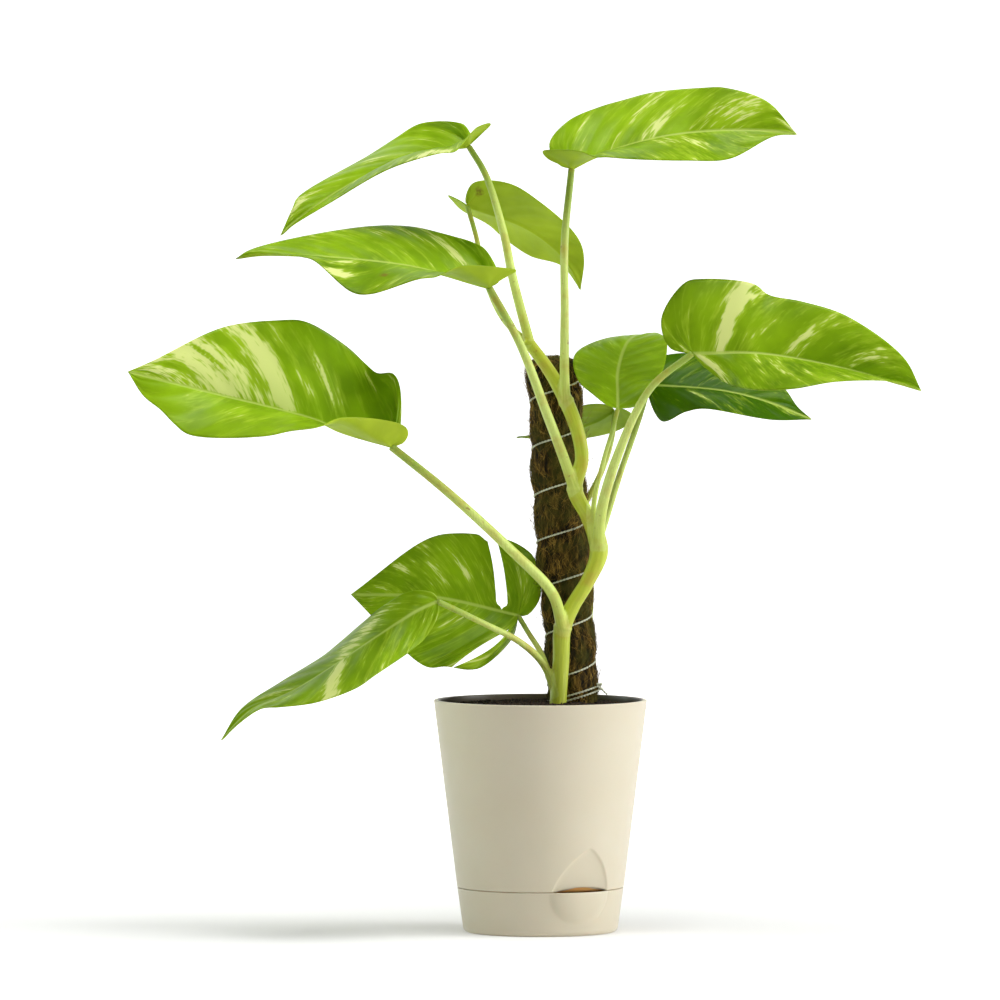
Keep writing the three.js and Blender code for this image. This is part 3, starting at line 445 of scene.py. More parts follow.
def turned_wood_finish():
    """Plain softwood: pale, with a grain that runs up the stick."""
    material, add, place = start_material("turned softwood")
    drawn = add("ShaderNodeMapping", {"Vector": place, "Scale": (1.0, 1.0, 0.06)})
    grain = add("ShaderNodeTexNoise", {"Vector": drawn, "Scale": 1 / (1.2 * MM)})
    tone = add("ShaderNodeMix", {0: grain, 6: "#b79f74", 7: "#8f7449"}, data_type="RGBA")
    shader = add("ShaderNodeBsdfPrincipled", {"Base Color": tone, "Roughness": 0.7})
    add("ShaderNodeOutputMaterial", {"Surface": shader})
    return material


core_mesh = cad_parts["pole_core"].data
core_mesh.materials.clear()
core_mesh.materials.append(turned_wood_finish())


# Coir sleeve
# Coconut fibre matted round the stick and pulled in where the twine binds it. The body is the dark felt
# underneath, and single fibres are laid over it from the mix up, a few of them loose and standing off.

POLE_BOTTOM = np.array([25.0, 8.0, 36.0])
POLE_TOP = np.array([6.6, 8.0, 337.0])
POLE_RADIUS = 14.6
POLE_TOP_RADIUS = 15.6
POLE_SHOULDER = 7.0
SOIL_LINE = 134.0
POLE_FLARE = 100
POLE_LUMPS = ((0.45, 3, 0.045), (0.4, 2, -0.11))
POLE_SIDES = 84
POLE_ROWS = {"buried": 8, "bare": 160}
FELT_LUMPS = {"around": 2.2, "up": 6, "height": 0.55}
TWINE_PITCH = 27.6
TWINE_FRONT = 234.3
FRONT_TURN = -0.25
TWINE_PINCH = {"depth": 1.7, "height": 5.0, "lowest": SOIL_LINE - 12}
LAID_FIBRES = {
    "Fibres per square metre": 180000.0, "Lowest": (SOIL_LINE - 7) * MM, "Fibre length": 17 * MM,
    "Fibre radius": 0.13 * MM, "Spread": 0.75, "Lift": 1.8 * MM, "Wander": 5 * MM, "Seed": 21}
LOOSE_FIBRES = {
    "Fibres per square metre": 18000.0, "Lowest": SOIL_LINE * MM, "Fibre length": 16 * MM,
    "Fibre radius": 0.13 * MM, "Spread": 1.0, "Lift": 9 * MM, "Wander": 4 * MM, "Seed": 4}


def pole_middle(height):
    share = (height - POLE_BOTTOM[2]) / (POLE_TOP[2] - POLE_BOTTOM[2])
    return POLE_BOTTOM + (POLE_TOP - POLE_BOTTOM) * share


def ease(share):
    """A share from 0 to 1 that starts and ends slowly."""
    share = np.clip(share, 0, 1)
    return share * share * (3 - 2 * share)


def pole_radius(angle, height):
    """The felt's radius: it widens a little above the soil, is lumpy, and is pinched by the twine."""
    widen = ease((height - SOIL_LINE) / POLE_FLARE)
    lumps = sum(size * np.sin(around * angle + up * height) for size, around, up in POLE_LUMPS)
    wound = (height - TWINE_FRONT) / TWINE_PITCH + FRONT_TURN - angle / (2 * math.pi)
    away = (wound - np.round(wound)) * TWINE_PITCH / TWINE_PINCH["height"]
    pinch = np.where(height > TWINE_PINCH["lowest"], TWINE_PINCH["depth"] * np.exp(-away * away), 0)
    return POLE_RADIUS + (POLE_TOP_RADIUS - POLE_RADIUS) * widen + lumps - pinch


def coir_finish():
    """Retted coconut fibre, matt: each fibre has its own brown, and patches are olive with algae."""
    material, add, place = start_material("matted coconut fibre")
    own = add("ShaderNodeAttribute", attribute_name="tint")
    drawn = add("ShaderNodeMapping", {"Vector": place, "Scale": (1.0, 1.0, 0.3)})
    strand = add("ShaderNodeTexNoise", {
        "Vector": drawn, "Scale": 1 / (2.6 * MM), "Detail": 6.0, "Roughness": 0.6})
    clump = add("ShaderNodeMapRange", {0: strand, 1: 0.38, 2: 0.64})
    patch = add("ShaderNodeTexNoise", {"Vector": place, "Scale": 1 / (16 * MM), "Detail": 2.0})
    tint = add("ShaderNodeMath", {0: own.outputs["Fac"], 1: clump}, operation="ADD")
    shade = add("ShaderNodeMath", {0: tint, 1: 0.6}, operation="MULTIPLY")
    brown = add("ShaderNodeValToRGB", {0: shade}, stops=[
        (0.08, "#110d03"), (0.95, "#bb9a4c"), (0.38, "#44340e"), (0.65, "#806328")])
    algae = add("ShaderNodeMapRange", {0: patch, 1: 0.42, 2: 0.62, 4: 0.7})
    tone = add("ShaderNodeMix", {0: algae, 6: brown, 7: "#4c4c16"}, data_type="RGBA")
    felt = add("ShaderNodeBump", {"Height": strand, "Strength": 0.7, "Distance": 0.5 * MM})
    shader = add("ShaderNodeBsdfPrincipled", {
        "Base Color": tone, "Roughness": 0.9, "Specular IOR Level": 0.2, "Normal": felt})
    add("ShaderNodeOutputMaterial", {"Surface": shader})
    return material


def fibre_tree():
    """Lays bent fibres on a surface: scattered, turned mostly upright, wrapped on, and thickened."""
    tree, add, entry = start_tree("coir fibres", LAID_FIBRES)
    spot = add("GeometryNodeInputPosition")
    level = add("ShaderNodeSeparateXYZ", {0: spot})
    clear = add("ShaderNodeMath", {0: level.outputs[2], 1: entry["Lowest"]}, operation="GREATER_THAN")
    spots = add("GeometryNodeDistributePointsOnFaces", {
        "Mesh": entry["Geometry"], "Selection": clear, "Density": entry["Fibres per square metre"],
        "Seed": entry["Seed"]})
    line = add("GeometryNodeCurvePrimitiveLine", {"Start": (-0.5, 0, 0), "End": (0.5, 0, 0)})
    fibre = add("GeometryNodeResampleCurve", {"Curve": line, "Count": 8})
    lean = add("FunctionNodeRandomValue", {
        0: (-1.0, -1.0, 0.3), 1: (1.0, 1.0, 1.0), "Seed": entry["Seed"]}, data_type="FLOAT_VECTOR")
    fan = add("ShaderNodeCombineXYZ", {0: entry["Spread"], 1: entry["Spread"], 2: 1.0})
    aim = add("ShaderNodeVectorMath", {0: lean, 1: fan}, operation="MULTIPLY")
    turn = add("FunctionNodeAlignRotationToVector", {"Vector": aim}, axis="X")
    long = add("FunctionNodeRandomValue", {2: 0.35, 3: 1.3, "Seed": 5})
    length = add("ShaderNodeMath", {0: long, 1: entry["Fibre length"]}, operation="MULTIPLY")
    laid = add("GeometryNodeInstanceOnPoints", {
        "Points": spots, "Instance": fibre, "Rotation": turn, "Scale": length})
    own = add("FunctionNodeRandomValue", {2: 0.0, 3: 1.0, "Seed": 3})
    tinted = add("GeometryNodeStoreNamedAttribute", {
        "Geometry": laid, "Name": "tint", "Value": own}, domain="INSTANCE")
    real = add("GeometryNodeRealizeInstances", {0: tinted})
    place = add("GeometryNodeInputPosition")
    bend = add("ShaderNodeTexNoise", {"Vector": place, "Scale": 1 / (6 * MM), "Detail": 1.0})
    swing = add("ShaderNodeVectorMath", {
        0: bend.outputs["Color"], 1: (0.5, 0.5, 0.5)}, operation="SUBTRACT")
    strayed = add("ShaderNodeVectorMath", {0: swing, "Scale": entry["Wander"]}, operation="SCALE")
    wavy = add("GeometryNodeSetPosition", {"Geometry": real, "Offset": strayed})
    felt = add("GeometryNodeProximity", {"Geometry": entry["Geometry"]}, target_element="FACES")
    upright = add("GeometryNodeInputNormal")
    out = add("GeometryNodeSampleNearestSurface", {
        "Mesh": entry["Geometry"], "Value": upright}, data_type="FLOAT_VECTOR")
    stand = add("ShaderNodeTexNoise", {"Vector": place, "Scale": 1 / (3 * MM), "Detail": 0.0})
    along = add("GeometryNodeSplineParameter")
    free = add("ShaderNodeMath", {0: along, 1: stand}, operation="MULTIPLY")
    height = add("ShaderNodeMath", {0: free, 1: entry["Lift"]}, operation="MULTIPLY")
    off = add("ShaderNodeVectorMath", {0: out, "Scale": height}, operation="SCALE")
    wrapped = add("GeometryNodeSetPosition", {"Geometry": wavy, "Position": felt, "Offset": off})
    ring = add("GeometryNodeCurvePrimitiveCircle", {"Resolution": 3, "Radius": 1.0})
    taper = add("ShaderNodeMapRange", {0: along, 1: 0.0, 2: 1.0, 3: 1.0, 4: 0.5})
    thick = add("ShaderNodeMath", {0: taper, 1: entry["Fibre radius"]}, operation="MULTIPLY")
    tube = add("GeometryNodeCurveToMesh", {
        "Curve": wrapped, "Profile Curve": ring, "Scale": thick, "Fill Caps": True})
    end_tree(add, tube, entry["Material"])
    return tree


pole_angles = np.linspace(0, 2 * math.pi, POLE_SIDES, endpoint=False)


def pole_row(height, scale):
    """A ring of felt, with the fine lumps of the matting added to the formula's radius."""
    around, up = FELT_LUMPS["around"], FELT_LUMPS["up"]
    lump = FELT_LUMPS["height"] * np.array([
        noise.fractal((around * math.cos(a), around * math.sin(a), height / up), 0.9, 2.0, 4)
        for a in pole_angles])
    radius = (pole_radius(pole_angles, np.full_like(pole_angles, height)) + lump) * scale
    ring = np.stack([radius * np.cos(pole_angles), radius * np.sin(pole_angles), 0 * radius], axis=1)
    return ring + pole_middle(height)


sleeve_top = POLE_TOP[2] - POLE_SHOULDER
sleeve_rows = [pole_middle(POLE_BOTTOM[2])[None], pole_row(POLE_BOTTOM[2], 0.5)]
for low, high, rows in (
        (POLE_BOTTOM[2], SOIL_LINE - 6, POLE_ROWS["buried"]),
        (SOIL_LINE - 4, sleeve_top, POLE_ROWS["bare"])):
    sleeve_rows += [pole_row(height, 1) for height in np.linspace(low, high, rows)]
for share in (0.25, 0.45, 0.62, 0.78, 0.9, 0.97):
    sleeve_rows.append(pole_row(sleeve_top + POLE_SHOULDER * share, math.sqrt(1 - share * share)))
sleeve_rows.append(pole_middle(POLE_TOP[2] - 0.5)[None])
coir = coir_finish()
sleeve = mesh_piece("coir_felt", *closed_surface(sleeve_rows), coir)
fibres = grow("coir_fibres", fibre_tree(), sleeve, LAID_FIBRES, coir)
fringe = grow("loose_coir_fibres", fibre_tree(), sleeve, LOOSE_FIBRES, coir)
for piece in (sleeve, fibres, fringe):
    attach(piece, "root")
    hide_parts("coir_sleeve")


# Binding twine
# Pale two-ply twine wound up the fibre in one long helix, with its turns close together at the soil and
# a knot there. It is laid by twisting the two plies round each other.

TWINE = {"lift": 1.0, "start": 7.0, "stop": 12.0}
PLIES = {"Ply radius": 0.34 * MM, "Lay": 4.2 * MM}
PLY_APART = 0.85
STEPS_IN_TURN = 180
CLOSE_TURNS = {"turns": 1.75, "pitch": 2.6, "slope": 4.5}
KNOT_MIDDLE = np.array([34.6, -2.6, 144.5])


def twine_finish():
    """Bleached jute: matt, greenish cream, with duller, darker patches along it."""
    material, add, place = start_material("bleached two-ply twine")
    fuzz = add("ShaderNodeTexNoise", {"Vector": place, "Scale": 1 / (0.4 * MM), "Detail": 4.0})
    grime = add("ShaderNodeTexNoise", {"Vector": place, "Scale": 1 / (12 * MM), "Detail": 2.0})
    pale = add("ShaderNodeMix", {0: fuzz, 6: "#f0f0dc", 7: "#cfd2b2"}, data_type="RGBA")
    dull = add("ShaderNodeMapRange", {0: grime, 1: 0.45, 2: 0.7, 4: 0.45})
    tone = add("ShaderNodeMix", {0: dull, 6: pale, 7: "#8d8f62"}, data_type="RGBA")
    rough = add("ShaderNodeBump", {"Height": fuzz, "Strength": 0.6, "Distance": 0.15 * MM})
    shader = add("ShaderNodeBsdfPrincipled", {"Base Color": tone, "Roughness": 0.8, "Normal": rough})
    add("ShaderNodeOutputMaterial", {"Surface": shader})
    return material


def twine_tree():
    """Turns a path into two plies that are twisted round each other."""
    tree, add, entry = start_tree("laid twine", PLIES)
    along = add("GeometryNodeSplineParameter")
    turns = add("ShaderNodeMath", {0: along.outputs[1], 1: entry["Lay"]}, operation="DIVIDE")
    twist = add("ShaderNodeMath", {0: turns, 1: 2 * math.pi}, operation="MULTIPLY")
    twisted = add("GeometryNodeSetCurveTilt", {"Curve": entry["Geometry"], "Tilt": twist})
    ring = add("GeometryNodeCurvePrimitiveCircle", {"Resolution": 7, "Radius": entry["Ply radius"]})
    plies = []
    for side in (-PLY_APART, PLY_APART):
        aside = add("ShaderNodeMath", {0: entry["Ply radius"], 1: side}, operation="MULTIPLY")
        move = add("ShaderNodeCombineXYZ", {0: aside})
        plies.append(add("GeometryNodeTransform", {"Geometry": ring, "Translation": move}))
    pair = add("GeometryNodeJoinGeometry", {0: plies})
    laid = add("GeometryNodeCurveToMesh", {"Curve": twisted, "Profile Curve": pair, "Fill Caps": True})
    end_tree(add, laid, entry["Material"])
    return tree


def path_object(name, lines):
    """A curve object with one spline for each line of points, in millimetres, with radii if given."""
    curve = bpy.data.curves.new(name, "CURVE")
    curve.dimensions = "3D"
    for line in lines:
        spline = curve.splines.new("POLY")
        spline.points.add(len(line) - 1)
        for point, values in zip(spline.points, line):
            point.co = (*(np.asarray(values[:3]) * MM), 1.0)
            point.radius = values[3] * MM if len(values) > 3 else 1.0
    return add_object(name, curve)


def twine_height(turns):
    return TWINE_FRONT + TWINE_PITCH * (turns - FRONT_TURN)


def twine_point(turns, below):
    """A point on the helix, that many turns up, or below it where the turns run close together."""
    angle = 2 * math.pi * turns
    slope = CLOSE_TURNS["slope"] * min(1.0, below / 0.3) * math.cos(angle)
    height = twine_height(turns + below) - CLOSE_TURNS["pitch"] * below + slope
    held = TWINE_PINCH["depth"] * min(1.0, below / 0.2)
    radius = pole_radius(np.array(angle), np.array(height)) + TWINE["lift"] + held
    return pole_middle(height) + radius * np.array([math.cos(angle), math.sin(angle), 0.0])


first_turn = (SOIL_LINE + TWINE["start"] - twine_height(0)) / TWINE_PITCH
last_turn = (POLE_TOP[2] - TWINE["stop"] - twine_height(0)) / TWINE_PITCH
twine_path = []
for turns in np.arange(first_turn - CLOSE_TURNS["turns"], last_turn, 1 / STEPS_IN_TURN):
    twine_path.append(twine_point(turns, max(0.0, first_turn - turns)))
knot_path = []
for step in np.linspace(0, 2 * math.pi, 60):
    knot_path.append(KNOT_MIDDLE + np.array([
        0.9 * math.sin(step) + 0.5 * math.sin(2 * step),
        0.6 * math.sin(3 * step) - 0.4,
        1.2 * math.cos(step) - 0.7 * math.cos(2 * step)]))
loose_end = []
for step in np.linspace(0, 5, 30):
    loose_end.append(KNOT_MIDDLE + np.array([0.9 * step, -0.5 * step, (0.1 * step - 1.5) * step]))
twine_line = path_object("twine_path", [twine_path, knot_path, loose_end])
twine = grow("binding_twine", twine_tree(), twine_line, PLIES, twine_finish())
bpy.data.objects.remove(twine_line)
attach(twine, "root")
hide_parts("binding_thread")


# Vines
# Living stems with the leaf stalks that grow from them. The main stem zigzags up the front of the pole and
# throws a stalk at each node, and a second stem stands behind the pole. Each is one grown body.

MAIN_STEM = [
    (9, -13, 72, 4.6), (10, -14, 130, 5), (12, -13, 160, 4.9), (13, -13, 179, 5.3), (19, -14, 192, 4.4),
    (28, -15, 207, 4.3), (34, -14, 222, 5.4), (33, -13, 231, 5.4), (27, -14, 245, 4.3),
    (20, -15, 260, 4.7), (24, -15, 277, 4.1), (22, -15, 292, 4.1), (15, -14, 311, 4.4),
    (5, -13, 329, 3.8), (-8, -13, 347, 3.4),
]
MAIN_STALKS = {
    "top_right": [(15, -14, 308, 3), (14, -19, 325, 2.9), (14, -23, 365, 2.5), (14, -23, 405, 2.3),
                  (18, -20, 447, 2)],
    "top_left": [(-6, -13, 344, 3), (-16, -10, 382, 2.7), (-22, -5, 411, 2.4), (-32, 4, 443, 2),
                 (-42, 8, 460, 1.8)],
    "top_back": [(-8, -12, 346, 2), (-21, 0, 358, 1.8), (-31, 14, 378, 1.6), (-38, 25, 408, 1.5),
                 (-43, 28, 425, 1.5)],
    "upper_left": [(20, -15, 258, 3.3), (15, -20, 274, 3.2), (3, -29, 306, 2.9), (-12, -36, 345, 2.5),
                   (-30, -38, 378, 2.2)],
    "left": [(13, -14, 177, 3.5), (7, -25, 199, 3.3), (-18, -39, 226, 2.9), (-56, -47, 261, 2.6),
             (-87, -48, 286, 2.3)],
    "right": [(34, -14, 225, 3.5), (35, -24, 245, 3.4), (45, -36, 281, 2.8), (64, -46, 320, 2.2),
              (88, -48, 340, 2)],
    "right_small": [(33, -13, 228, 1.8), (31, -19, 250, 1.6), (37, -23, 278, 1.4), (42, -24, 295, 1.3),
                    (45, -24, 307, 1.3)],
    "low_back": [(9, -12, 138, 2.4), (4, -8, 153, 2.2), (0, -2, 164, 1.8), (-7, 2, 175, 1.6),
                 (-13, 4, 185, 1.6)],
    "low_front": [(9, -14, 140, 2.4), (2, -14, 157, 2.3), (-12, -26, 171, 2), (-32, -38, 182, 1.8),
                  (-60, -48, 196, 1.8)],
}
BACK_STEM = [
    (27, 29, 76, 3.6), (28, 30, 130, 3.9), (27, 30, 170, 3.7), (27, 31, 208, 4.4), (24, 30, 226, 3.5),
    (22, 29, 246, 4), (20, 29, 262, 2.6), (18, 29, 276, 1.2),
]
BACK_STALKS = {
    "right_lower": [(27, 30, 206, 2.6), (37, 27, 236, 2.2), (47, 22, 268, 1.9), (58, 20, 300, 1.7),
                    (64, 20, 320, 1.6)],
    "behind_pole": [(22, 29, 244, 2.2), (31, 32, 258, 1.9), (39, 37, 276, 1.7), (43, 41, 292, 1.6),
                    (44, 44, 304, 1.5)],
}
STEM_NODES = [(13, -13, 179), (33.5, -13.5, 226), (20, -15, 260), (15, -14, 311)]
NODE_RING = {"height": 0.5, "width": 0.7}
NODE_TINT = {"reach": 7, "stem": 0.35, "stalk": 0.5}
YOUNG = {"least": 0.35, "length": 60}
# Painted shade on each stalk under its blade: the share along the stalk where it starts, how fast it grows,
# and its most.
PAINTED_STALK_SHADE = {"start": 0.62, "gain": 2.6, "most": 0.7}
STEM_RIBS = {"around": 4.4, "length": 14}
STEM = {"Sides": 20}
VOXEL = 0.62


def smooth_line(points, per_span=14):
    """A centripetal Catmull-Rom line through the points, with the radius running evenly between them."""
    given = np.array(points, float)
    places = np.vstack([2 * given[0] - given[1], given, 2 * given[-1] - given[-2]])
    line = []
    for i in range(1, len(places) - 2):
        p0, p1, p2, p3 = places[i - 1:i + 3, :3]
        d0, d1, d2 = (max(np.linalg.norm(b - a) ** 0.5, 1e-4) for a, b in ((p0, p1), (p1, p2), (p2, p3)))
        m1 = ((p1 - p0) / d0 - (p2 - p0) / (d0 + d1) + (p2 - p1) / d1) * d1
        m2 = ((p2 - p1) / d1 - (p3 - p1) / (d1 + d2) + (p3 - p2) / d2) * d1
        for step in range(per_span + (i == len(places) - 3)):
            t = step / per_span
            place = (2 * t ** 3 - 3 * t ** 2 + 1) * p1 + (t ** 3 - 2 * t ** 2 + t) * m1
            place = place + (3 * t ** 2 - 2 * t ** 3) * p2 + (t ** 3 - t ** 2) * m2
            line.append((*place, places[i, 3] + (places[i + 1, 3] - places[i, 3]) * t))
    return line


def ringed(line):
    """The stem's line with a low ring at each node, where an old sheath has left its scar."""
    shaped = []
    for x, y, z, radius in line:
        for node in STEM_NODES:
            away = math.dist((x, y, z), node) / NODE_RING["width"]
            radius += NODE_RING["height"] * math.exp(-away * away)
        shaped.append((x, y, z, radius))
    return shaped


def stalk_tree():
    """Round green tubes along their paths, as thick as the paths' own radii."""
    tree, add, entry = start_tree("stems and stalks", STEM)
    ring = add("GeometryNodeCurvePrimitiveCircle", {"Resolution": entry["Sides"], "Radius": 1.0})
    thick = add("GeometryNodeInputRadius")
    tube = add("GeometryNodeCurveToMesh", {
        "Curve": entry["Geometry"], "Profile Curve": ring, "Scale": thick, "Fill Caps": True})
    end_tree(add, tube, entry["Material"])
    return tree


def stem_finish():
    """Living stem, waxy and faintly ribbed: olive-lime on the old stem, fresher and paler on the stalks,
    with painted shade darkening each stalk just under its blade.
    """
    material, add, place = start_material("waxy green stem")
    stalk, node, painted_stalk_shade, grain = (
        add("ShaderNodeAttribute", attribute_name=label) for label in ("stalk", "node", "painted_stalk_shade", "grain"))
    ribs = add("ShaderNodeTexNoise", {"Vector": grain.outputs["Vector"], "Scale": 1.0, "Detail": 3.0})
    blotch = add("ShaderNodeTexNoise", {"Vector": place, "Scale": 1 / (11 * MM), "Detail": 4.0})
    old = add("ShaderNodeMix", {0: ribs, 6: "#9caf1c", 7: "#d0d948"}, data_type="RGBA")
    young = add("ShaderNodeMix", {0: ribs, 6: "#aec548", 7: "#e4ef90"}, data_type="RGBA")
    green = add("ShaderNodeMix", {0: stalk.outputs["Fac"], 6: old, 7: young}, data_type="RGBA")
    # Painted shade: the last part of each stalk, under its blade, is mixed towards a dark green.
    shaded = add("ShaderNodeMix", {0: painted_stalk_shade.outputs["Fac"], 6: green, 7: "#7f9f1c"}, data_type="RGBA")
    warm = add("ShaderNodeMapRange", {0: blotch, 1: 0.48, 2: 0.72, 4: 0.6})
    aged = add("ShaderNodeMix", {0: warm, 6: shaded, 7: "#b9a436"}, data_type="RGBA")
    speck = add("ShaderNodeTexNoise", {"Vector": place, "Scale": 1 / (3.6 * MM), "Detail": 1.0})
    scar = add("ShaderNodeMapRange", {0: speck, 1: 0.72, 2: 0.8, 4: 0.7})
    marked = add("ShaderNodeMix", {0: scar, 6: aged, 7: "#8a6226"}, data_type="RGBA")
    tone = add("ShaderNodeMix", {0: node.outputs["Fac"], 6: marked, 7: "#d6e08c"}, data_type="RGBA")
    fine = add("ShaderNodeBump", {"Height": ribs, "Strength": 0.6, "Distance": 0.4 * MM})
    wax = add("ShaderNodeBsdfPrincipled", {
        "Base Color": tone, "Roughness": 0.42, "IOR": 1.42, "Subsurface Weight": 0.15,
        "Subsurface Radius": (0.7, 1.0, 0.3), "Subsurface Scale": 2 * MM, "Normal": fine})
    add("ShaderNodeOutputMaterial", {"Surface": wax})
    return material


def grow_vine(name, stem, stalks, material):
    """Tubes round the stem and its stalks, fused into one skin and softened where they meet."""
    lines = [ringed(smooth_line(stem))] + [smooth_line(points) for points in stalks.values()]
    paths = path_object(name + "_paths", lines)
    tubes = grow(name, stalk_tree(), paths, STEM, material)
    bpy.data.objects.remove(paths)
    fuse = tubes.modifiers.new("fuse", "REMESH")
    fuse.mode = "VOXEL"
    fuse.voxel_size = VOXEL * MM
    fuse.use_smooth_shade = True
    soften = tubes.modifiers.new("soften", "SMOOTH")
    soften.factor = 0.5
    soften.iterations = 3
    mesh = evaluated_mesh(tubes)
    tubes.modifiers.clear()
    tubes.data = mesh
    mesh.materials.clear()
    mesh.materials.append(material)
    mark_vine(mesh, lines)
    return tubes


def mark_vine(mesh, lines):
    """Marks each point of a vine with its place on the line next to it, for the finish."""
    near = []
    for number, line in enumerate(lines):
        places = np.array(line)[:, :3]
        run = np.concatenate([[0], np.cumsum(np.linalg.norm(np.diff(places, axis=0), axis=1))])
        near += [(number, *each) for each in zip(places, run, run / run[-1])]
    tree = KDTree(len(near))
    for i, (_, middle, _, _) in enumerate(near):
        tree.insert(middle * MM, i)
    tree.balance()
    marks = {"stalk": [], "node": [], "painted_stalk_shade": []}
    grain = []
    for vertex in mesh.vertices:
        number, middle, run, share = near[tree.find(vertex.co)[1]]
        place = np.array(vertex.co) / MM
        closest = min(math.dist(place, node) for node in STEM_NODES)
        ring = NODE_TINT["stalk" if number else "stem"]
        # How much painted shade a stalk gets under its blade, growing towards its end.
        painted_stalk_shade = min(PAINTED_STALK_SHADE["most"], max(0.0, PAINTED_STALK_SHADE["gain"] * (share - PAINTED_STALK_SHADE["start"])))
        marks["stalk"].append(min(1.0, YOUNG["least"] + run / YOUNG["length"]) if number else 0.0)
        marks["node"].append(max(0.0, 1 - closest / NODE_TINT["reach"]) * ring)
        marks["painted_stalk_shade"].append(painted_stalk_shade if number else 0.0)
        x, y = (place - middle)[:2]
        angle = math.atan2(y, x)
        grain.append((
            STEM_RIBS["around"] * math.cos(angle), STEM_RIBS["around"] * math.sin(angle),
            run / STEM_RIBS["length"] + number))
    for label, values in marks.items():
        mesh.attributes.new(label, "FLOAT", "POINT").data.foreach_set("value", values)
    mesh.attributes.new("grain", "FLOAT_VECTOR", "POINT").data.foreach_set("vector", np.ravel(grain))


green_stem = stem_finish()
for node_name, stem, stalks in (
        ("main_vine", MAIN_STEM, MAIN_STALKS), ("back_vine", BACK_STEM, BACK_STALKS)):
    vine = grow_vine("green_" + node_name, stem, stalks, green_stem)
    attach(vine, "root")
    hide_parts(node_name)


# Leaf blades
# Eleven leathery, glossy, heart-shaped blades, marbled with cream where a sector of the leaf has no green.
# Each is bent along its arched rib, with a keel below the rib and side veins that fan out to the margin.

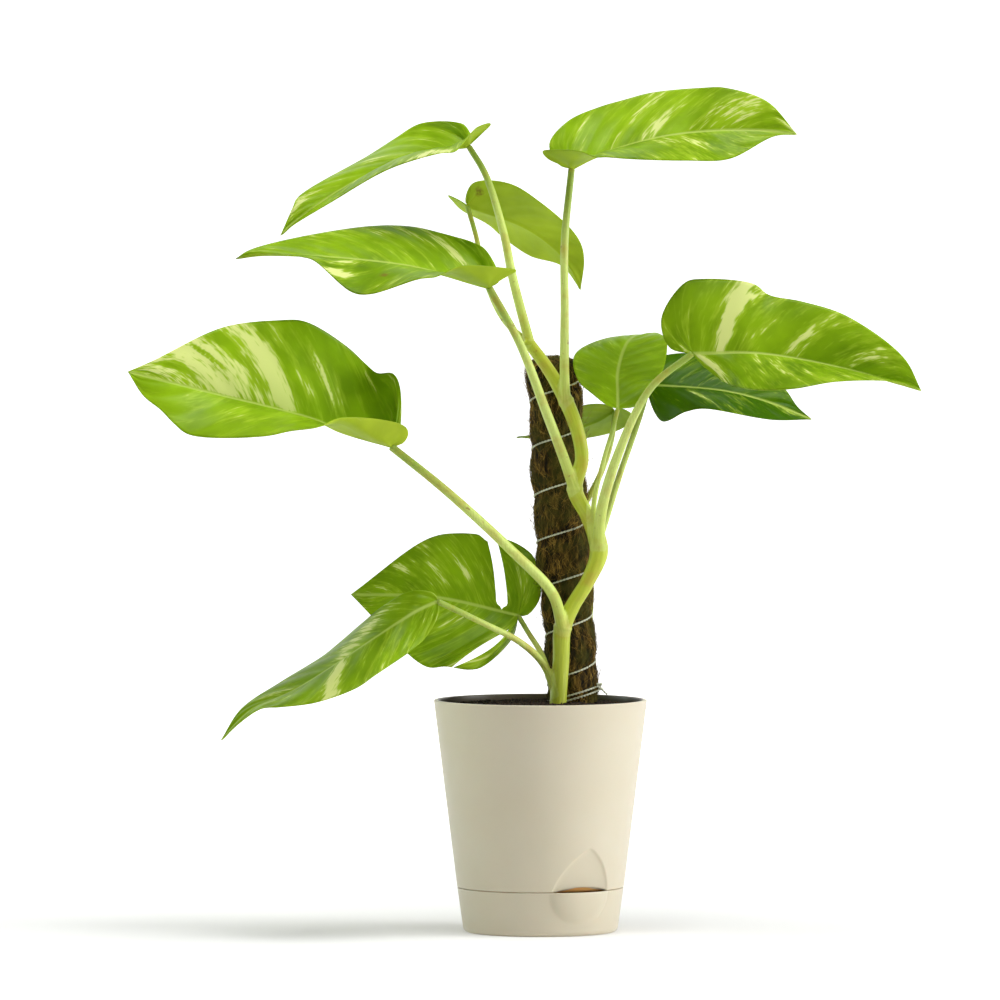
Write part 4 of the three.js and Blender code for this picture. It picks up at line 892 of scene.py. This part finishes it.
# Each blade's rib from its base to its tip, and the margins of its left and right half between those ends.
# Cups hollow a half beside the base, lobes are the share of its margin behind the base, and sweeps bend
# its side veins forward. A split lies at a place on the margin, from a share of the way out to another, or
# to the margin itself, and is as wide as its width in millimetres.
LEAVES = {
    "top_right": {
        "rib": [
            (18, -20, 447), (32, -21, 454), (64, -24, 464), (99, -28, 469), (133, -32, 469),
            (149, -34, 467)],
        "left": [
            (11, -19, 449), (5, -16, 461), (15, -9, 474), (35, 10, 483), (49, 13, 487), (64, 9, 491),
            (94, -10, 494), (108, -20, 494), (132, -28, 486)],
        "right": [
            (4, -23, 453), (1, -25, 457), (7, -32, 458), (24, -54, 457), (31, -61, 454), (38, -66, 454),
            (51, -67, 453), (84, -57, 452), (110, -43, 453), (136, -35, 466)],
        "cups": (0, 0.12)},
    "top_left": {
        "rib": [
            (-42, 8, 460), (-68, 7, 457), (-82, 6, 453), (-116, 2, 435), (-142, -3, 417),
            (-152, -6, 408)],
        "left": [
            (-29, 2, 473), (-37, -8, 471), (-45, -23, 462), (-50, -28, 457), (-59, -32, 456),
            (-88, -29, 447), (-123, -13, 427), (-146, -6, 413)],
        "right": [
            (-40, 9, 463), (-44, 11, 472), (-49, 13, 474), (-71, 32, 473), (-86, 41, 464),
            (-100, 40, 455), (-142, 4, 430), (-145, -1, 424)]},
    "top_back": {
        "rib": [(-43, 28, 425), (-9, 43, 412), (10, 53, 398), (18, 57, 388), (24, 62, 375)],
        "left": [
            (-54, 33, 431), (-51, 42, 427), (-46, 54, 422), (-30, 73, 413), (-22, 76, 406),
            (-6, 73, 395), (13, 67, 389)],
        "right": [
            (-44, 27, 428), (-40, 24, 438), (-18, 8, 438), (0, 14, 427), (22, 42, 406), (26, 55, 393)]},
    "upper_left": {
        "rib": [(-30, -38, 378), (-79, -42, 391), (-159, -49, 397), (-177, -50, 395)],
        "left": [
            (-23, -39, 384), (-14, -43, 388), (-24, -52, 390), (-47, -74, 391), (-61, -87, 385),
            (-70, -89, 384), (-99, -80, 375), (-109, -77, 376), (-131, -66, 394), (-137, -62, 396),
            (-166, -52, 398)],
        "right": [
            (-24, -37, 382), (-32, -32, 400), (-39, -27, 404), (-57, -7, 409), (-76, 0, 413),
            (-103, -9, 413), (-169, -48, 400)],
        "cups": (0.15, 0)},
    "left": {
        "rib": [(-87, -48, 286), (-117, -50, 295), (-130, -52, 301), (-189, -60, 317), (-239, -70, 330)],
        "left": [
            (-80, -49, 288), (-77, -50, 293), (-79, -55, 298), (-115, -96, 304), (-129, -112, 299),
            (-144, -113, 297), (-159, -111, 294), (-203, -84, 294), (-212, -77, 300), (-220, -73, 308),
            (-230, -71, 316)],
        "right": [
            (-83, -47, 290), (-82, -39, 321), (-86, -34, 328), (-95, -26, 328), (-102, -18, 333),
            (-113, -15, 343), (-137, -30, 358), (-153, -40, 359), (-185, -51, 355), (-225, -66, 336)],
        "cups": (0.18, 0)},
    "right": {
        "rib": [(88, -48, 340), (127, -55, 340), (173, -63, 332), (220, -70, 319)],
        "left": [
            (75, -46, 343), (70, -42, 360), (84, -37, 381), (94, -36, 383), (124, -39, 380),
            (132, -40, 374), (152, -49, 370), (177, -56, 362), (210, -66, 338)],
        "right": [
            (94, -50, 333), (106, -58, 324), (121, -83, 320), (145, -102, 321), (170, -98, 325),
            (207, -77, 324)],
        "lobes": (0.2, 0)},
    "right_lower": {
        "rib": [(64, 20, 320), (109, 18, 316), (133, 15, 310), (159, 10, 300)],
        "left": [
            (61, 21, 322), (63, 24, 329), (71, 32, 336), (88, 42, 338), (110, 42, 336), (142, 22, 319),
            (151, 14, 307)],
        "right": [(64, 19, 312), (71, 12, 299), (85, -8, 305), (95, -14, 307), (136, 1, 300)]},
    "right_small": {
        "rib": [(45, -24, 307), (45, -17, 317), (45, -7, 327), (50, 17, 343), (55, 30, 348), (62, 44, 349)],
        "left": [
            (39, -25, 309), (30, -25, 316), (23, -19, 322), (19, -4, 333), (22, 10, 340), (39, 30, 347)],
        "right": [
            (56, -23, 309), (63, -17, 321), (68, -10, 324), (72, 1, 330), (74, 25, 346), (68, 38, 350)],
        "lobes": (0, 0)},
    "behind_pole": {
        "rib": [(44, 44, 304), (32, 50, 297), (4, 57, 289), (-14, 58, 288)],
        "left": [(42, 40, 306), (37, 35, 308), (24, 26, 307), (18, 25, 302), (0, 38, 291)],
        "right": [(48, 47, 305), (55, 61, 300), (52, 69, 295), (42, 76, 290), (21, 80, 286), (5, 75, 286)]},
    "low_back": {
        "rib": [(-13, 4, 185), (-61, -2, 196), (-111, -8, 198)],
        "left": [(-16, 1, 173), (-35, -23, 156), (-42, -28, 155), (-55, -29, 157), (-68, -21, 157)],
        "right": [
            (-8, 5, 185), (0, 8, 196), (-3, 18, 217), (-7, 23, 222), (-18, 26, 228), (-48, 12, 233),
            (-66, 6, 230)],
        "lobes": (0.45, 0.34), "sweeps": (1.4, 1.25),
        "splits": [
            {"half": 1, "at": 0.32, "from": 0.03, "to": None, "width": 7},
            {"half": 0, "at": 0.205, "from": 0.25, "to": 1.04, "width": 7}]},
    "low_front": {
        "rib": [(-60, -48, 196), (-73, -52, 190), (-142, -70, 146), (-168, -75, 134), (-185, -78, 117)],
        "left": [
            (-59, -49, 190), (-67, -54, 175), (-75, -61, 168), (-96, -89, 155), (-107, -97, 148),
            (-130, -99, 140), (-151, -93, 137), (-161, -89, 136), (-172, -83, 129)],
        "right": [
            (-61, -47, 200), (-74, -45, 202), (-91, -35, 193), (-104, -22, 182), (-118, -23, 170),
            (-127, -29, 163), (-151, -47, 149), (-174, -68, 134)],
        "lobes": (0, 0)},
}

# Marbling of each blade: how light the green is and how much cream there is in its left and right half. On
# right_lower and behind_pole the low lightness, with right_lower's low cream, is painted shade, for the
# blade above and the pole that shade them. A sector has its half, its vein, its share of the way out to the
# margin, how far it spreads across and along the veins, and the cream that it adds or takes away. A scar
# has its half, its place on the margin, its share of the way out, and its size in millimetres.
MARBLING = {
    "top_right": {"tones_and_painted_shade": (0.68, 0.5), "halves": (-0.4, -0.38), "sectors": [
        (0, 0.41, 0.5, 0.025, 0.5, 0.9), (0, 0.53, 0.35, 0.03, 0.4, 0.85),
        (0, 0.72, 0.5, 0.08, 0.5, 0.55), (0, 0.88, 0.8, 0.06, 0.3, 0.8),
        (0, 0.19, 0.75, 0.015, 0.15, 0.9), (1, 0.62, 0.3, 0.12, 0.25, 0.5)]},
    "top_left": {"tones_and_painted_shade": (0.58, 0.66), "halves": (-0.35, -0.42), "sectors": [
        (1, 0.75, 0.8, 0.07, 0.25, 1.0), (1, 0.5, 0.45, 0.03, 0.4, 0.6), (0, 0.3, 0.85, 0.1, 0.2, 1.1)]},
    "top_back": {
        "tones_and_painted_shade": (0.66, 0.66), "halves": (-0.5, -0.5), "sectors": [], "scars": [(1, 0.21, 0.47, 3.6)]},
    "upper_left": {"tones_and_painted_shade": (0.46, 0.62), "halves": (-0.42, -0.42), "sectors": [
        (1, 0.27, 0.6, 0.022, 0.5, 1.2), (1, 0.35, 0.8, 0.03, 0.3, 1.0), (0, 0.595, 0.75, 0.03, 0.25, 1.3),
        (0, 0.66, 0.3, 0.025, 0.3, 0.95), (1, 0.42, 0.75, 0.03, 0.2, 0.7)],
        "scars": [(0, 0.57, 0.48, 3.4)]},
    "left": {"tones_and_painted_shade": (0.66, 0.66), "halves": (-0.45, -0.5), "sectors": [
        (1, 0.41, 0.5, 0.01, 0.5, 0.9), (1, 0.48, 0.3, 0.02, 0.15, 0.7), (1, 0.565, 0.5, 0.035, 1.2, 0.9),
        (1, 0.76, 0.5, 0.18, 1.4, 1.25), (1, 0.635, 0.85, 0.02, 0.35, -1.3),
        (1, 0.705, 0.7, 0.008, 0.3, -1.0), (1, 0.81, 0.6, 0.022, 0.25, -1.2),
        (1, 0.2, 0.78, 0.012, 0.15, 0.8), (0, 0.6, 0.5, 0.05, 0.15, 0.6)]},
    "right": {"tones_and_painted_shade": (0.58, 0.44), "halves": (-0.4, -0.38), "sectors": [
        (0, 0.33, 0.1, 0.022, 0.25, 1.2), (0, 0.315, 0.5, 0.034, 0.3, 1.2),
        (0, 0.3, 0.95, 0.045, 0.35, 1.4), (0, 0.57, 0.38, 0.028, 0.34, 1.5), (0, 0.75, 0.5, 0.05, 0.4, 0.5),
        (1, 0.22, 0.6, 0.034, 0.8, 1.35), (1, 0.5, 0.4, 0.06, 0.4, 0.5)]},
    # Painted shade: the low tones and the low cream darken this blade where the right blade shades it.
    "right_lower": {"tones_and_painted_shade": (0.0, -0.1), "halves": (-0.75, -0.7), "sectors": [
        (1, 0.42, 0.5, 0.035, 0.4, 0.9), (1, 0.87, 0.3, 0.05, 0.4, 1.0), (0, 0.5, 0.4, 0.05, 0.3, 0.5)]},
    "right_small": {"tones_and_painted_shade": (0.65, 0.65), "halves": (-0.5, -0.5), "sectors": []},
    # Painted shade: the low tones darken this blade, which lies in shade behind the pole.
    "behind_pole": {"tones_and_painted_shade": (0.1, 0.1), "halves": (-0.5, -0.5), "sectors": []},
    "low_back": {"tones_and_painted_shade": (0.54, 0.54), "halves": (-0.36, -0.36), "sectors": [
        (1, 0.43, 0.5, 0.022, 0.3, 1.0), (1, 0.66, 0.75, 0.04, 0.2, 0.7), (1, 0.55, 0.6, 0.03, 0.3, 0.6)]},
    "low_front": {"tones_and_painted_shade": (0.52, 0.52), "halves": (-0.42, -0.45), "sectors": [
        (1, 0.3, 0.74, 0.04, 0.16, 1.2), (1, 0.38, 0.56, 0.045, 0.15, 1.2),
        (1, 0.46, 0.38, 0.045, 0.15, 1.2), (1, 0.53, 0.22, 0.045, 0.13, 1.2),
        (1, 0.585, 0.08, 0.035, 0.12, 1.2), (0, 0.6, 0.15, 0.028, 0.2, 1.3),
        (0, 0.59, 0.4, 0.028, 0.18, 1.3), (0, 0.57, 0.7, 0.03, 0.25, 1.4), (0, 0.54, 0.93, 0.03, 0.14, 1.0),
        (1, 0.75, 0.3, 0.05, 0.4, 0.7), (0, 0.75, 0.5, 0.04, 0.4, 0.7), (1, 0.12, 0.8, 0.03, 0.2, 0.8)]},
}
VEIN_SLANT = {"slope": 0.13, "from": 0.3}
VEIN_FADE = 7
BLADE_LOBE = 0.2
BLADE_FAN = 1.2
BLADE_SWEEP = 1.25
BLADE_SPREAD = 0.95
BLADE_CROWN = 0.05
SPLIT_TAPER = 0.08
SPLIT_FADE = 0.09
SPLIT_CORNER = {"width": 0.025, "cut": 0.09}
BLADE_ROWS = 104
BLADE_COLUMNS = 26
COLUMNS_BUNCHED = 1.15
BLADE_SIZES = {"Half thickness": 0.25 * MM, "Keel height": 0.95 * MM, "Vein depth": 0.45 * MM}
KEEL = {"width": 1.2, "taper": 0.8}
VEINS_IN_HALF = 11
VEIN_MAP = {"half": 3, "blade": 7}
WELD = 1000
BLADE_MARKS = ("from_rib", "vein", "keel", "cream", "tone", "scar")


def even_line(points):
    """A smooth line through the points, and the share of its length at each of its places."""
    line = np.array(smooth_line([(*point, 0) for point in points], 24))[:, :3]
    run = np.concatenate([[0], np.cumsum(np.linalg.norm(np.diff(line, axis=0), axis=1))])
    return line, run / run[-1]


def on_line(line, share):
    """The place at that share of the line's length."""
    return np.stack([np.interp(share, line[1], line[0][:, i]) for i in range(3)], axis=-1)


def unit(vectors):
    return vectors / np.maximum(np.linalg.norm(vectors, axis=-1, keepdims=True), 1e-9)


def vein_point(leaf, half, place, share):
    """A point of one half, on the side vein from the rib to that place on the margin, and where it is."""
    lobe = leaf.get("lobes", (BLADE_LOBE, BLADE_LOBE))[half]
    past = np.clip((place - BLADE_LOBE) / (1 - BLADE_LOBE), 0, 1)
    on_margin = np.where(place < BLADE_LOBE, place / BLADE_LOBE * lobe, lobe + (1 - lobe) * past)
    fan = past ** BLADE_FAN
    root = on_line(leaf["rib_line"], fan)
    ahead = unit(on_line(leaf["rib_line"], fan + 0.01) - on_line(leaf["rib_line"], fan - 0.01))
    reach = on_line(leaf["margins"][half], on_margin) - root
    forward = (reach * ahead).sum(axis=-1, keepdims=True) * ahead
    across = reach - forward
    up = unit(np.cross(across, ahead) if half == 1 else np.cross(ahead, across))
    width = np.linalg.norm(across, axis=-1)
    folded = ease((2 * BLADE_LOBE - place) / BLADE_LOBE)
    bulge = BLADE_CROWN - leaf.get("cups", (0, 0))[half] * folded
    along = share ** leaf.get("sweeps", (BLADE_SWEEP, BLADE_SWEEP))[half]
    outward = share ** BLADE_SPREAD
    point = root + forward * along[..., None] + across * outward[..., None]
    point = point + up * (width * bulge * 4 * share * (1 - share))[..., None]
    behind = np.minimum((reach * ahead).sum(axis=-1), 0) * along
    return point, np.hypot(width * outward, behind), fan


def half_blade(leaf, half, places, banks, shares):
    """The middle surface of one half as a grid of points, and each one's distance from the rib, place on
    the margin, share of the way out, and share along the rib."""
    place = places[:, None] + 0 * shares[None]
    share = shares[None] + 0 * places[:, None]
    bank = banks[:, None] + 0 * shares[None]
    splits = [one for one in leaf.get("splits", ()) if one["half"] == half]
    corner = 0
    for split in splits:
        if not split["to"]:
            corner += SPLIT_CORNER["cut"] * np.exp(-((place - split["at"]) / SPLIT_CORNER["width"]) ** 2)
    surface, from_rib, along = vein_point(leaf, half, place, share * (1 - corner))
    for split in splits:
        if split["to"]:
            past = np.clip((share - split["from"]) / (split["to"] - split["from"]), 0, 1)
            opening = np.sin(math.pi * past)
        else:
            opening = ease((share - split["from"]) / SPLIT_TAPER)
        away = np.where(bank != 0, bank, np.sign(place - split["at"]))
        before, after = (vein_point(leaf, half, place + step, share)[0] for step in (-0.01, 0.01))
        fade = np.exp(-((place - split["at"]) / SPLIT_FADE) ** 2)
        surface = surface + unit(after - before) * (away * opening * fade * split["width"] / 2)[..., None]
    return surface, from_rib, place, share, along


def blade_marks(leaf, marbling, half, grid, line):
    """What the thickness and the finish need at each point of one half, in the order of BLADE_MARKS."""
    surface, from_rib, place, share, along = grid
    crest = np.abs(np.cos(math.pi * VEINS_IN_HALF * line)) ** 4
    vein = crest * np.minimum(1, VEIN_FADE * share * (1 - share))
    keel = np.exp(-(from_rib / KEEL["width"]) ** 2) * (1 - KEEL["taper"] * along)
    cream = np.full(place.shape, marbling["halves"][half])
    for side, at, out, wide, deep, more in marbling["sectors"]:
        if side == half:
            cream += more * np.exp(-(((line - at) / wide) ** 2 + ((share - out) / deep) ** 2))
    scar = np.zeros(place.shape)
    for side, at, out, size in marbling.get("scars", ()):
        spot = vein_point(leaf, side, np.array([at]), np.array([out]))[0][0]
        scar += np.exp(-(np.linalg.norm(surface - spot, axis=-1) / size) ** 2)
    # Each half's tone, which is painted shade on the shaded blades.
    tone = np.full(place.shape, marbling["tones_and_painted_shade"][half])
    return np.stack([from_rib * MM, vein, keel, cream, tone, scar], axis=-1)


def blade_surface(name, leaf, marbling, number):
    """The middle surface of a blade as an open mesh, with its marks and a map along its side veins."""
    splits = leaf.get("splits", [])
    rows = sorted(set(np.round(np.linspace(0, 1, BLADE_ROWS)[1:], 6)) | {split["at"] for split in splits})
    columns = np.linspace(0, 1, BLADE_COLUMNS) ** COLUMNS_BUNCHED
    numbered, points, marks, faces, corners = {}, [], [], [], []
    for half in (0, 1):
        own = [split["at"] for split in splits if split["half"] == half]
        edges = [(place, bank) for place in rows for bank in ((-1, 1) if place in own else (0,))]
        places, banks = np.array(edges, float).T
        grid = half_blade(leaf, half, places, banks, columns)
        surface, _, place, share, _ = grid
        line = place - VEIN_SLANT["slope"] * share * np.minimum(1, place / VEIN_SLANT["from"])
        marked = blade_marks(leaf, marbling, half, grid, line)
        numbers = np.zeros(place.shape, int)
        for spot in np.ndindex(place.shape):
            key = tuple(np.round(surface[spot] * WELD).astype(int))
            if key not in numbered:
                numbered[key] = len(points)
                points.append(surface[spot])
                marks.append(marked[spot])
            numbers[spot] = numbered[key]
        beside = VEIN_MAP["half"] * half + VEIN_MAP["blade"] * number
        for i, j in np.ndindex(len(places) - 1, len(columns) - 1):
            quad = [(i, j), (i + 1, j), (i + 1, j + 1), (i, j + 1)][::-1 if half else 1]
            kept = [one for k, one in enumerate(quad) if numbers[one] not in [numbers[c] for c in quad[:k]]]
            if banks[i] != -1 and len(kept) > 2:
                faces.append([numbers[spot] for spot in kept])
                corners += [(line[spot] + beside, share[spot]) for spot in kept]
    base = mesh_piece(name, points, faces, leaf_finish)
    base.data.uv_layers.new(name="veins").data.foreach_set("uv", np.ravel(corners))
    for label, values in zip(BLADE_MARKS, np.transpose(marks)):
        base.data.attributes.new(label, "FLOAT", "POINT").data.foreach_set("value", values)
    return base


def blade_tree():
    """Gives a middle surface its thickness, a keel under the rib, and grooves along the side veins."""
    tree, add, entry = start_tree("leaf blade", BLADE_SIZES)
    vein = add("GeometryNodeInputNamedAttribute", {"Name": "vein"})
    rib = add("GeometryNodeInputNamedAttribute", {"Name": "keel"})
    groove = add("ShaderNodeMath", {0: vein, 1: entry["Vein depth"]}, operation="MULTIPLY")
    keel = add("ShaderNodeMath", {0: rib, 1: entry["Keel height"]}, operation="MULTIPLY")
    thinner = add("ShaderNodeMath", {0: entry["Half thickness"], 1: groove}, operation="SUBTRACT")
    above = add("ShaderNodeMath", {0: keel, 1: -0.25, 2: thinner}, operation="MULTIPLY_ADD")
    thicker = add("ShaderNodeMath", {
        0: groove, 1: 0.6, 2: entry["Half thickness"]}, operation="MULTIPLY_ADD")
    below = add("ShaderNodeMath", {0: keel, 1: thicker}, operation="ADD")
    normal = add("GeometryNodeInputNormal")
    place = add("GeometryNodeInputPosition")
    drop = add("ShaderNodeVectorMath", {0: normal, "Scale": below}, operation="SCALE")
    lift = add("ShaderNodeVectorMath", {0: normal, "Scale": above}, operation="SCALE")
    top = add("ShaderNodeVectorMath", {0: place, 1: lift}, operation="ADD")
    bottom = add("ShaderNodeVectorMath", {0: place, 1: drop}, operation="SUBTRACT")
    marked = add("GeometryNodeStoreNamedAttribute", {
        "Geometry": entry["Geometry"], "Name": "top", "Value": top}, data_type="FLOAT_VECTOR")
    lower = add("GeometryNodeSetPosition", {"Geometry": marked, "Position": bottom})
    lower = add("GeometryNodeStoreNamedAttribute", {"Geometry": lower, "Name": "underside", "Value": 1.0})
    raised = add("GeometryNodeExtrudeMesh", {
        "Mesh": lower, "Offset Scale": entry["Half thickness"], "Individual": False})
    target = add("GeometryNodeInputNamedAttribute", {"Name": "top"}, data_type="FLOAT_VECTOR")
    upper = add("GeometryNodeSetPosition", {
        "Geometry": raised.outputs["Mesh"], "Selection": raised.outputs["Top"], "Position": target})
    upper = add("GeometryNodeStoreNamedAttribute", {
        "Geometry": upper, "Selection": raised.outputs["Top"], "Name": "underside", "Value": 0.0})
    back = add("GeometryNodeFlipFaces", {"Mesh": lower})
    both = add("GeometryNodeJoinGeometry", {0: [back, upper]})
    closed = add("GeometryNodeMergeByDistance", {"Geometry": both, "Distance": 1e-7})
    end_tree(add, closed, entry["Material"])
    return tree


def leaf_blade_finish():
    """Waxy leaf, IOR 1.45: glossy above, duller below, lets light through, cream where it has no green."""
    material, add, place = start_material("marbled waxy leaf")
    veins = add("ShaderNodeUVMap", uv_map="veins")
    amount, bright, from_rib, under, scar = (
        add("ShaderNodeAttribute", attribute_name=label).outputs["Fac"]
        for label in ("cream", "tone", "from_rib", "underside", "scar"))
    for scale, detail, swing in (
            ((7, 0.9, 1), 1.0, 1.2), ((34, 1.5, 1), 1.6, 2.3), ((120, 6.0, 1), 1.5, 1.8)):
        drawn = add("ShaderNodeMapping", {"Vector": veins, "Scale": scale})
        streak = add("ShaderNodeTexNoise", {
            "Vector": drawn, "Scale": 1.0, "Detail": detail, "Roughness": 0.45, "Distortion": 0.15})
        about = add("ShaderNodeMath", {0: streak, 1: 0.5}, operation="SUBTRACT")
        amount = add("ShaderNodeMath", {0: about, 1: swing, 2: amount}, operation="MULTIPLY_ADD")
    cream = add("ShaderNodeMapRange", {0: amount, 1: 0.2, 2: 0.6})
    lime = add("ShaderNodeMapRange", {0: amount, 1: -0.4, 2: 0.3, 4: 0.65})
    mottle = add("ShaderNodeTexNoise", {"Vector": place, "Scale": 1 / (22 * MM), "Detail": 3.0})
    patch = add("ShaderNodeMapRange", {0: mottle, 1: 0.25, 2: 0.75, 3: -0.25, 4: 0.25})
    tone = add("ShaderNodeMath", {0: bright, 1: patch}, operation="ADD")
    # The tone mixes the green from dark to light; on the shaded blades it is set low as painted shade.
    green = add("ShaderNodeMix", {0: tone, 6: "#3d6603", 7: "#abd01e"}, data_type="RGBA")
    limed = add("ShaderNodeMix", {0: lime, 6: green, 7: "#c4dc40"}, data_type="RGBA")
    marbled = add("ShaderNodeMix", {0: cream, 6: limed, 7: "#f6f9a4"}, data_type="RGBA")
    rib = add("ShaderNodeMapRange", {
        0: from_rib, 1: 0.35 * MM, 2: 1.5 * MM, 3: 0.8, 4: 0.0}, interpolation_type="SMOOTHSTEP")
    above = add("ShaderNodeMix", {0: rib, 6: marbled, 7: "#cfe070"}, data_type="RGBA")
    # The tone also sets the underside's green, so the shaded blades get painted shade below as well.
    dull = add("ShaderNodeMix", {0: tone, 6: "#7c961c", 7: "#cddc3c"}, data_type="RGBA")
    below = add("ShaderNodeMix", {0: cream, 6: dull, 7: "#c4d058"}, data_type="RGBA")
    whole = add("ShaderNodeMix", {0: under, 6: above, 7: below}, data_type="RGBA")
    crack = add("ShaderNodeTexNoise", {"Vector": place, "Scale": 1 / (1.6 * MM), "Detail": 3.0})
    ragged = add("ShaderNodeMath", {0: scar, 1: crack}, operation="MULTIPLY")
    dead = add("ShaderNodeMapRange", {0: ragged, 1: 0.2, 2: 0.45, 4: 0.85})
    skin = add("ShaderNodeMix", {0: dead, 6: whole, 7: "#8a6a2a"}, data_type="RGBA")
    light = add("ShaderNodeMix", {0: 0.5, 6: skin, 7: "#c8ee10"}, data_type="RGBA")
    gloss = add("ShaderNodeMapRange", {0: under, 3: 0.34, 4: 0.55})
    dapple = add("ShaderNodeTexNoise", {"Vector": place, "Scale": 1 / (1.5 * MM), "Detail": 2.0})
    relief = add("ShaderNodeBump", {"Height": dapple, "Strength": 0.12, "Distance": 0.15 * MM})
    wax = add("ShaderNodeBsdfPrincipled", {
        "Base Color": skin, "Roughness": gloss, "IOR": 1.45, "Specular IOR Level": 0.14, "Normal": relief})
    glow = add("ShaderNodeBsdfTranslucent", {"Color": light})
    mixed = add("ShaderNodeMixShader", {0: 0.33, 1: wax, 2: glow})
    add("ShaderNodeOutputMaterial", {"Surface": mixed})
    return material


leaf_finish = leaf_blade_finish()
leaf_tree = blade_tree()
for number, (name, leaf) in enumerate(LEAVES.items()):
    leaf["rib_line"] = even_line(leaf["rib"])
    base, tip = leaf["rib"][0], leaf["rib"][-1]
    leaf["margins"] = [even_line([base, *leaf[side], tip]) for side in ("left", "right")]
    surface = blade_surface("surface_" + name, leaf, MARBLING[name], number)
    blade = grow("leaf_" + name, leaf_tree, surface, BLADE_SIZES, leaf_finish)
    bpy.data.objects.remove(surface)
    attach(blade, "root")
    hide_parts("blade_" + name)


# Studio
# A pale seamless floor that curves up into its own backdrop, a large soft light from the right, a weak
# one from the left and a broad one overhead, seen from the front and slightly above.

CAMERA_TARGET = Vector((-23.7, 0, 253)) * MM
CAMERA_DISTANCE = 6.0
CAMERA_RISE = math.radians(2.2)
PICTURE_WIDTH = 585.5 * MM
SENSOR = 36.0
SWEEP = {"front": -9.0, "bend": 8.0, "curve": 2.0, "top": 9.0, "half_width": 9.0}
LIT_FROM_BEHIND = {"near": 0.3, "far": 2.0, "weak": 0.22, "full": 1.0}
LIGHT_TARGET = Vector((0, 0, 0.25))
AIR_LIGHT = 0.1


def studio_white():
    """Seamless paper: matt white, and lit from behind where it runs away from the plant and up."""
    material, add, place = start_material("seamless white paper")
    back = add("ShaderNodeSeparateXYZ", {0: place}).outputs[1]
    near, far, weak, full = LIT_FROM_BEHIND.values()
    lit = add("ShaderNodeMapRange", {0: back, 1: near, 2: far, 3: weak, 4: full})
    paper = add("ShaderNodeBsdfPrincipled", {
        "Base Color": "#dededc", "Roughness": 0.9, "Specular IOR Level": 0.1,
        "Emission Color": (1, 1, 1, 1), "Emission Strength": lit})
    add("ShaderNodeOutputMaterial", {"Surface": paper})
    return material


def soft_light(name, place, size, power, colour):
    """A square soft box that faces the middle of the plant."""
    light = bpy.data.lights.new(name, "AREA")
    light.shape = "SQUARE"
    light.size = size
    light.energy = power
    light.color = linear(colour)[:3]
    lamp = add_object(name, light)
    lamp.location = place
    lamp.rotation_euler = (LIGHT_TARGET - lamp.location).to_track_quat("-Z", "Y").to_euler()


sweep = [(SWEEP["front"], 0.0), (SWEEP["bend"], 0.0)]
for turn in np.linspace(0.1, math.pi / 2, 14):
    sweep.append((SWEEP["bend"] + SWEEP["curve"] * math.sin(turn), SWEEP["curve"] * (1 - math.cos(turn))))
sweep.append((SWEEP["bend"] + SWEEP["curve"], SWEEP["top"]))
sweep_points = [
    (x / MM, y / MM, z / MM) for y, z in sweep for x in (-SWEEP["half_width"], SWEEP["half_width"])]
sweep_faces = [(2 * i, 2 * i + 1, 2 * i + 3, 2 * i + 2) for i in range(len(sweep) - 1)]
backdrop = mesh_piece("seamless_backdrop", sweep_points, sweep_faces, studio_white())

soft_light("key_light", (2.4, -0.4, 0.9), 1.3, 52, "#fafcff")
soft_light("fill_light", (-2.4, 0.9, 0.7), 1.4, 19, "#e9fbf4")
soft_light("top_light", (0.0, -0.45, 2.55), 1.4, 57, "#ffffff")

world = bpy.data.worlds.new("studio air")
world.use_nodes = True
world.node_tree.nodes["Background"].inputs["Color"].default_value = (1, 1, 1, 1)
world.node_tree.nodes["Background"].inputs["Strength"].default_value = AIR_LIGHT
bpy.context.scene.world = world
bpy.context.scene.view_settings.view_transform = "Standard"

camera = bpy.data.cameras.new("front_camera")
camera.sensor_width = SENSOR
camera.lens = SENSOR * CAMERA_DISTANCE / PICTURE_WIDTH
camera.clip_end = 100
viewer = add_object("front_camera", camera)
viewer.location = CAMERA_TARGET + CAMERA_DISTANCE * Vector(
    (0, -math.cos(CAMERA_RISE), math.sin(CAMERA_RISE)))
viewer.rotation_euler = (math.pi / 2 - CAMERA_RISE, 0, 0)
bpy.context.scene.camera = viewer
